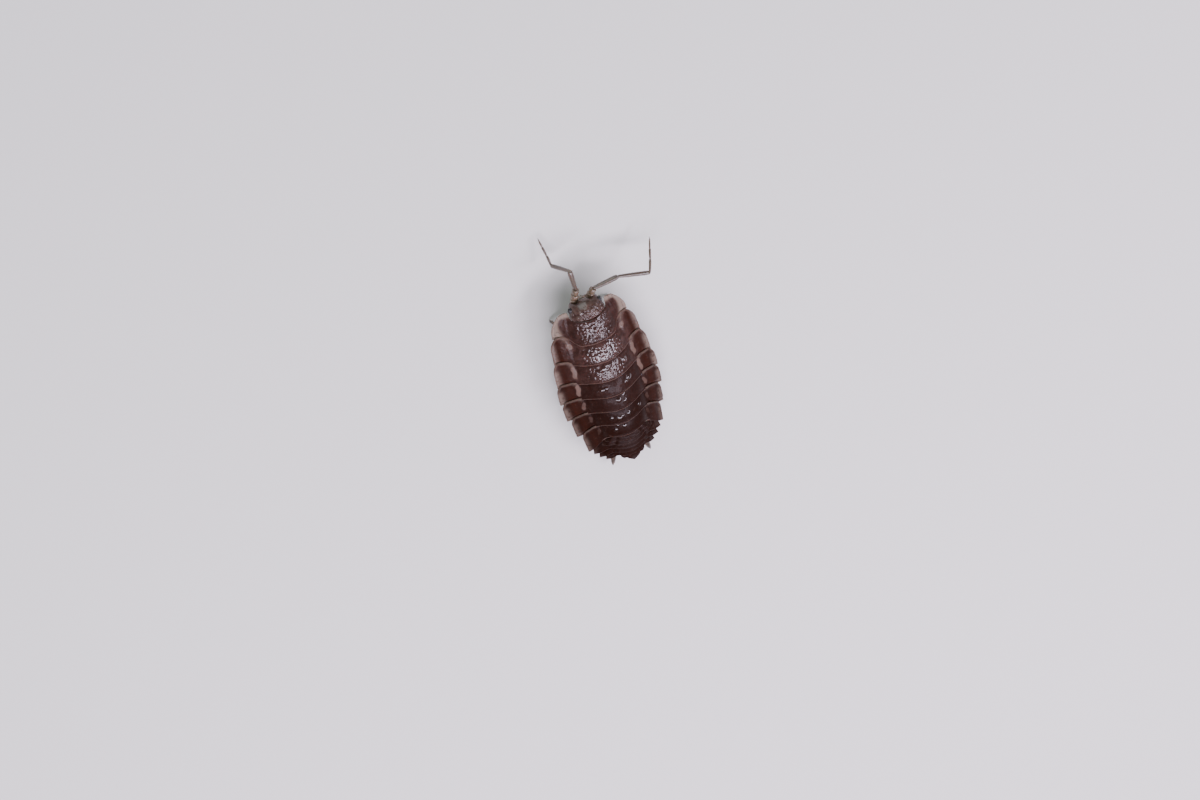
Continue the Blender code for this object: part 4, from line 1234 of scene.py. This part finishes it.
class WOODLOUSE_OT_legs(bpy.types.Operator):
    """Model the fourteen legs, each of seven articles with spines and a claw"""

    bl_idname = "woodlouse.legs"
    bl_label = "Legs"

    def execute(self, context):
        spines = context.scene.woodlouse_limbs.spines
        article = turned_form(ARTICLE)
        spear = turned_form(SPEAR, 6)
        claw = turned_form(CLAW)
        forms = [article] * (len(LEG_WIDTHS) - 1) + [claw]
        rng = random.Random(9)
        for number in range(len(PLATE_REAR)):
            for side_name in SIDES:
                joints = leg_joints(number, side_name)
                made = []
                parts = zip(forms, joints, joints[1:], LEG_WIDTHS, LEG_TONES)
                for part, (form, start, end, width, tone) in enumerate(parts):
                    dark = CLAW_DARK if form is claw else 0.0
                    made.append(copy_between(form, start, end, width, None, tone, dark, LEG_OVERLAP * width))
                    if part in SPINED_ARTICLES:
                        made += bristles(spear, start, end, width, spines, SPINE_LENGTH, rng, 0.5, down=True)
                finish_piece(f"walking_leg_{side_name}_{number + 1}", made, "leg", "leg",
                             f"leg_{side_name}_{number + 1}")
        return {"FINISHED"}


class WOODLOUSE_OT_gill_plates(bpy.types.Operator):
    """Model the five pairs of overlapping gill plates under the tail"""

    bl_idname = "woodlouse.gill_plates"
    bl_label = "Gill plates"

    def execute(self, context):
        article = turned_form(ARTICLE, 16)
        made = []
        for number in range(GILL_PAIRS):
            s, width, depth = (first + number * step for first, step in zip(GILL_FIRST, GILL_STEP))
            for side in SIDES.values():
                root = at(side * 0.4, s - 0.2, depth - 0.1)
                tip = at(side * width * 0.9, s + 0.62, depth + 0.06)
                made.append(copy_between(article, root, tip, width, 0.09, tone=0.1))
        finish_piece("gill_plates", made, "belly", "gill", "pleopods")
        return {"FINISHED"}


class WOODLOUSE_OT_tail_limbs(bpy.types.Operator):
    """Model the tail limbs on both sides of the end plate"""

    bl_idname = "woodlouse.tail_limbs"
    bl_label = "Tail limbs"

    def execute(self, context):
        article = turned_form(ARTICLE)
        spear = turned_form(SPEAR)
        rng = random.Random(5)
        for side_name, side in SIDES.items():
            for kind, joints in UROPODS.items():
                start, middle, end = [at(side * x, s, d) for x, s, d in joints]
                wide, slim = UROPOD_WIDTHS[kind]
                made = [copy_between(article, start, middle, wide, 0.7 * wide, tone=0.9),
                        copy_between(spear, middle.lerp(start, 0.12), end, slim, 0.65 * slim, tone=0.9)]
                made += bristles(spear, middle, middle.lerp(end, 0.75), slim * 0.6, UROPOD_BRISTLES,
                                 UROPOD_BRISTLE, rng, 0.4)
                finish_piece(f"tail_limb_{side_name}_{kind}", made, "feeler", "shell",
                             f"uropod_{side_name}_{kind}")
        return {"FINISHED"}


def add_light(name, size, power, place, colour, turn):
    """A rectangular soft light that looks at the animal, turned about its own line of sight."""
    light = bpy.data.lights.new(name, "AREA")
    light.shape = "RECTANGLE"
    light.size, light.size_y = size
    light.energy = power
    light.color = colour
    obj = bpy.data.objects.new(name, light)
    bpy.context.scene.collection.objects.link(obj)
    obj.location = Vector((BODY_X, -0.5, 3.5)) * MM + Vector(place)
    look = (-Vector(place)).to_track_quat("-Z", "Y").to_matrix()
    obj.rotation_euler = (look @ Matrix.Rotation(math.radians(turn), 3, "Z")).to_euler()


class WOODLOUSE_OT_stage(bpy.types.Operator):
    """Set the floor, the soft light and the camera at the photograph's angle"""

    bl_idname = "woodlouse.stage"
    bl_label = "Stage"

    def execute(self, context):
        scene = context.scene
        bpy.ops.mesh.primitive_plane_add(size=FLOOR_SIZE)
        floor = bpy.context.object
        floor.name = "floor"
        floor.data.materials.append(MATERIALS["floor"])
        scene.world = scene.world or bpy.data.worlds.new("studio")
        scene.world.use_nodes = True
        sky = scene.world.node_tree.nodes["Background"].inputs
        sky["Color"].default_value = SKY
        sky["Strength"].default_value = SKY_STRENGTH
        for name, values in LIGHTS.items():
            add_light(name, *values)
        place_camera(scene, scene.woodlouse_studio)
        return {"FINISHED"}


def place_camera(scene, studio):
    """The camera, so that the body lies in the picture as it does in the photograph."""
    data = bpy.data.cameras.new("camera")
    data.sensor_width = SENSOR
    data.lens = SENSOR * PIXELS_PER_MM * studio.distance / MM / PICTURE[0]
    data.clip_start = 0.001
    camera = bpy.data.objects.new("camera", data)
    scene.collection.objects.link(camera)
    turn = Matrix.Rotation(studio.azimuth, 4, "Z") @ Matrix.Rotation(0.5 * math.pi - studio.elevation, 4, "X")
    turn = turn @ Matrix.Rotation(studio.roll, 4, "Z")
    body = Vector(BODY_PLACE) + Vector((BODY_X, BODY_Y, 0.0))
    right = (0.5 * PICTURE[0] - PICTURE_PLACE[0]) / PIXELS_PER_MM
    up = (PICTURE_PLACE[1] - 0.5 * PICTURE[1]) / PIXELS_PER_MM
    back = Matrix.Translation(Vector((right * MM, up * MM, studio.distance)))
    camera.matrix_world = Matrix.Translation(body * MM) @ turn @ back
    scene.camera = camera


OPERATORS = (
    WOODLOUSE_OT_body_plates,
    WOODLOUSE_OT_tail_plates,
    WOODLOUSE_OT_underside,
    WOODLOUSE_OT_head,
    WOODLOUSE_OT_eyes,
    WOODLOUSE_OT_mouthparts,
    WOODLOUSE_OT_feelers,
    WOODLOUSE_OT_legs,
    WOODLOUSE_OT_gill_plates,
    WOODLOUSE_OT_tail_limbs,
    WOODLOUSE_OT_stage,
)


class WOODLOUSE_PT_pieces(bpy.types.Panel):
    """Buttons for each group of pieces"""

    bl_idname = "WOODLOUSE_PT_pieces"
    bl_label = "Woodlouse"
    bl_space_type = "VIEW_3D"
    bl_region_type = "UI"
    bl_category = "Woodlouse"

    def draw(self, context):
        for operator in OPERATORS:
            self.layout.operator(operator.bl_idname)
        for name in GROUPS:
            settings = getattr(context.scene, name)
            box = self.layout.box()
            for key in settings.__annotations__:
                box.prop(settings, key)


GROUPS = {
    "woodlouse_shell": WOODLOUSE_PG_shell,
    "woodlouse_limbs": WOODLOUSE_PG_limbs,
    "woodlouse_studio": WOODLOUSE_PG_studio,
}
CLASSES = (*GROUPS.values(), *OPERATORS, WOODLOUSE_PT_pieces)


def register():
    for item in CLASSES:
        bpy.utils.register_class(item)
    for name, group in GROUPS.items():
        setattr(bpy.types.Scene, name, PointerProperty(type=group))


def unregister():
    for name in GROUPS:
        delattr(bpy.types.Scene, name)
    for item in reversed(CLASSES):
        bpy.utils.unregister_class(item)


def main():
    register()
    make_materials(bpy.context.scene)
    for operator in OPERATORS:
        group, name = operator.bl_idname.split(".")
        getattr(getattr(bpy.ops, group), name)()


if __name__ == "__main__":
    main()
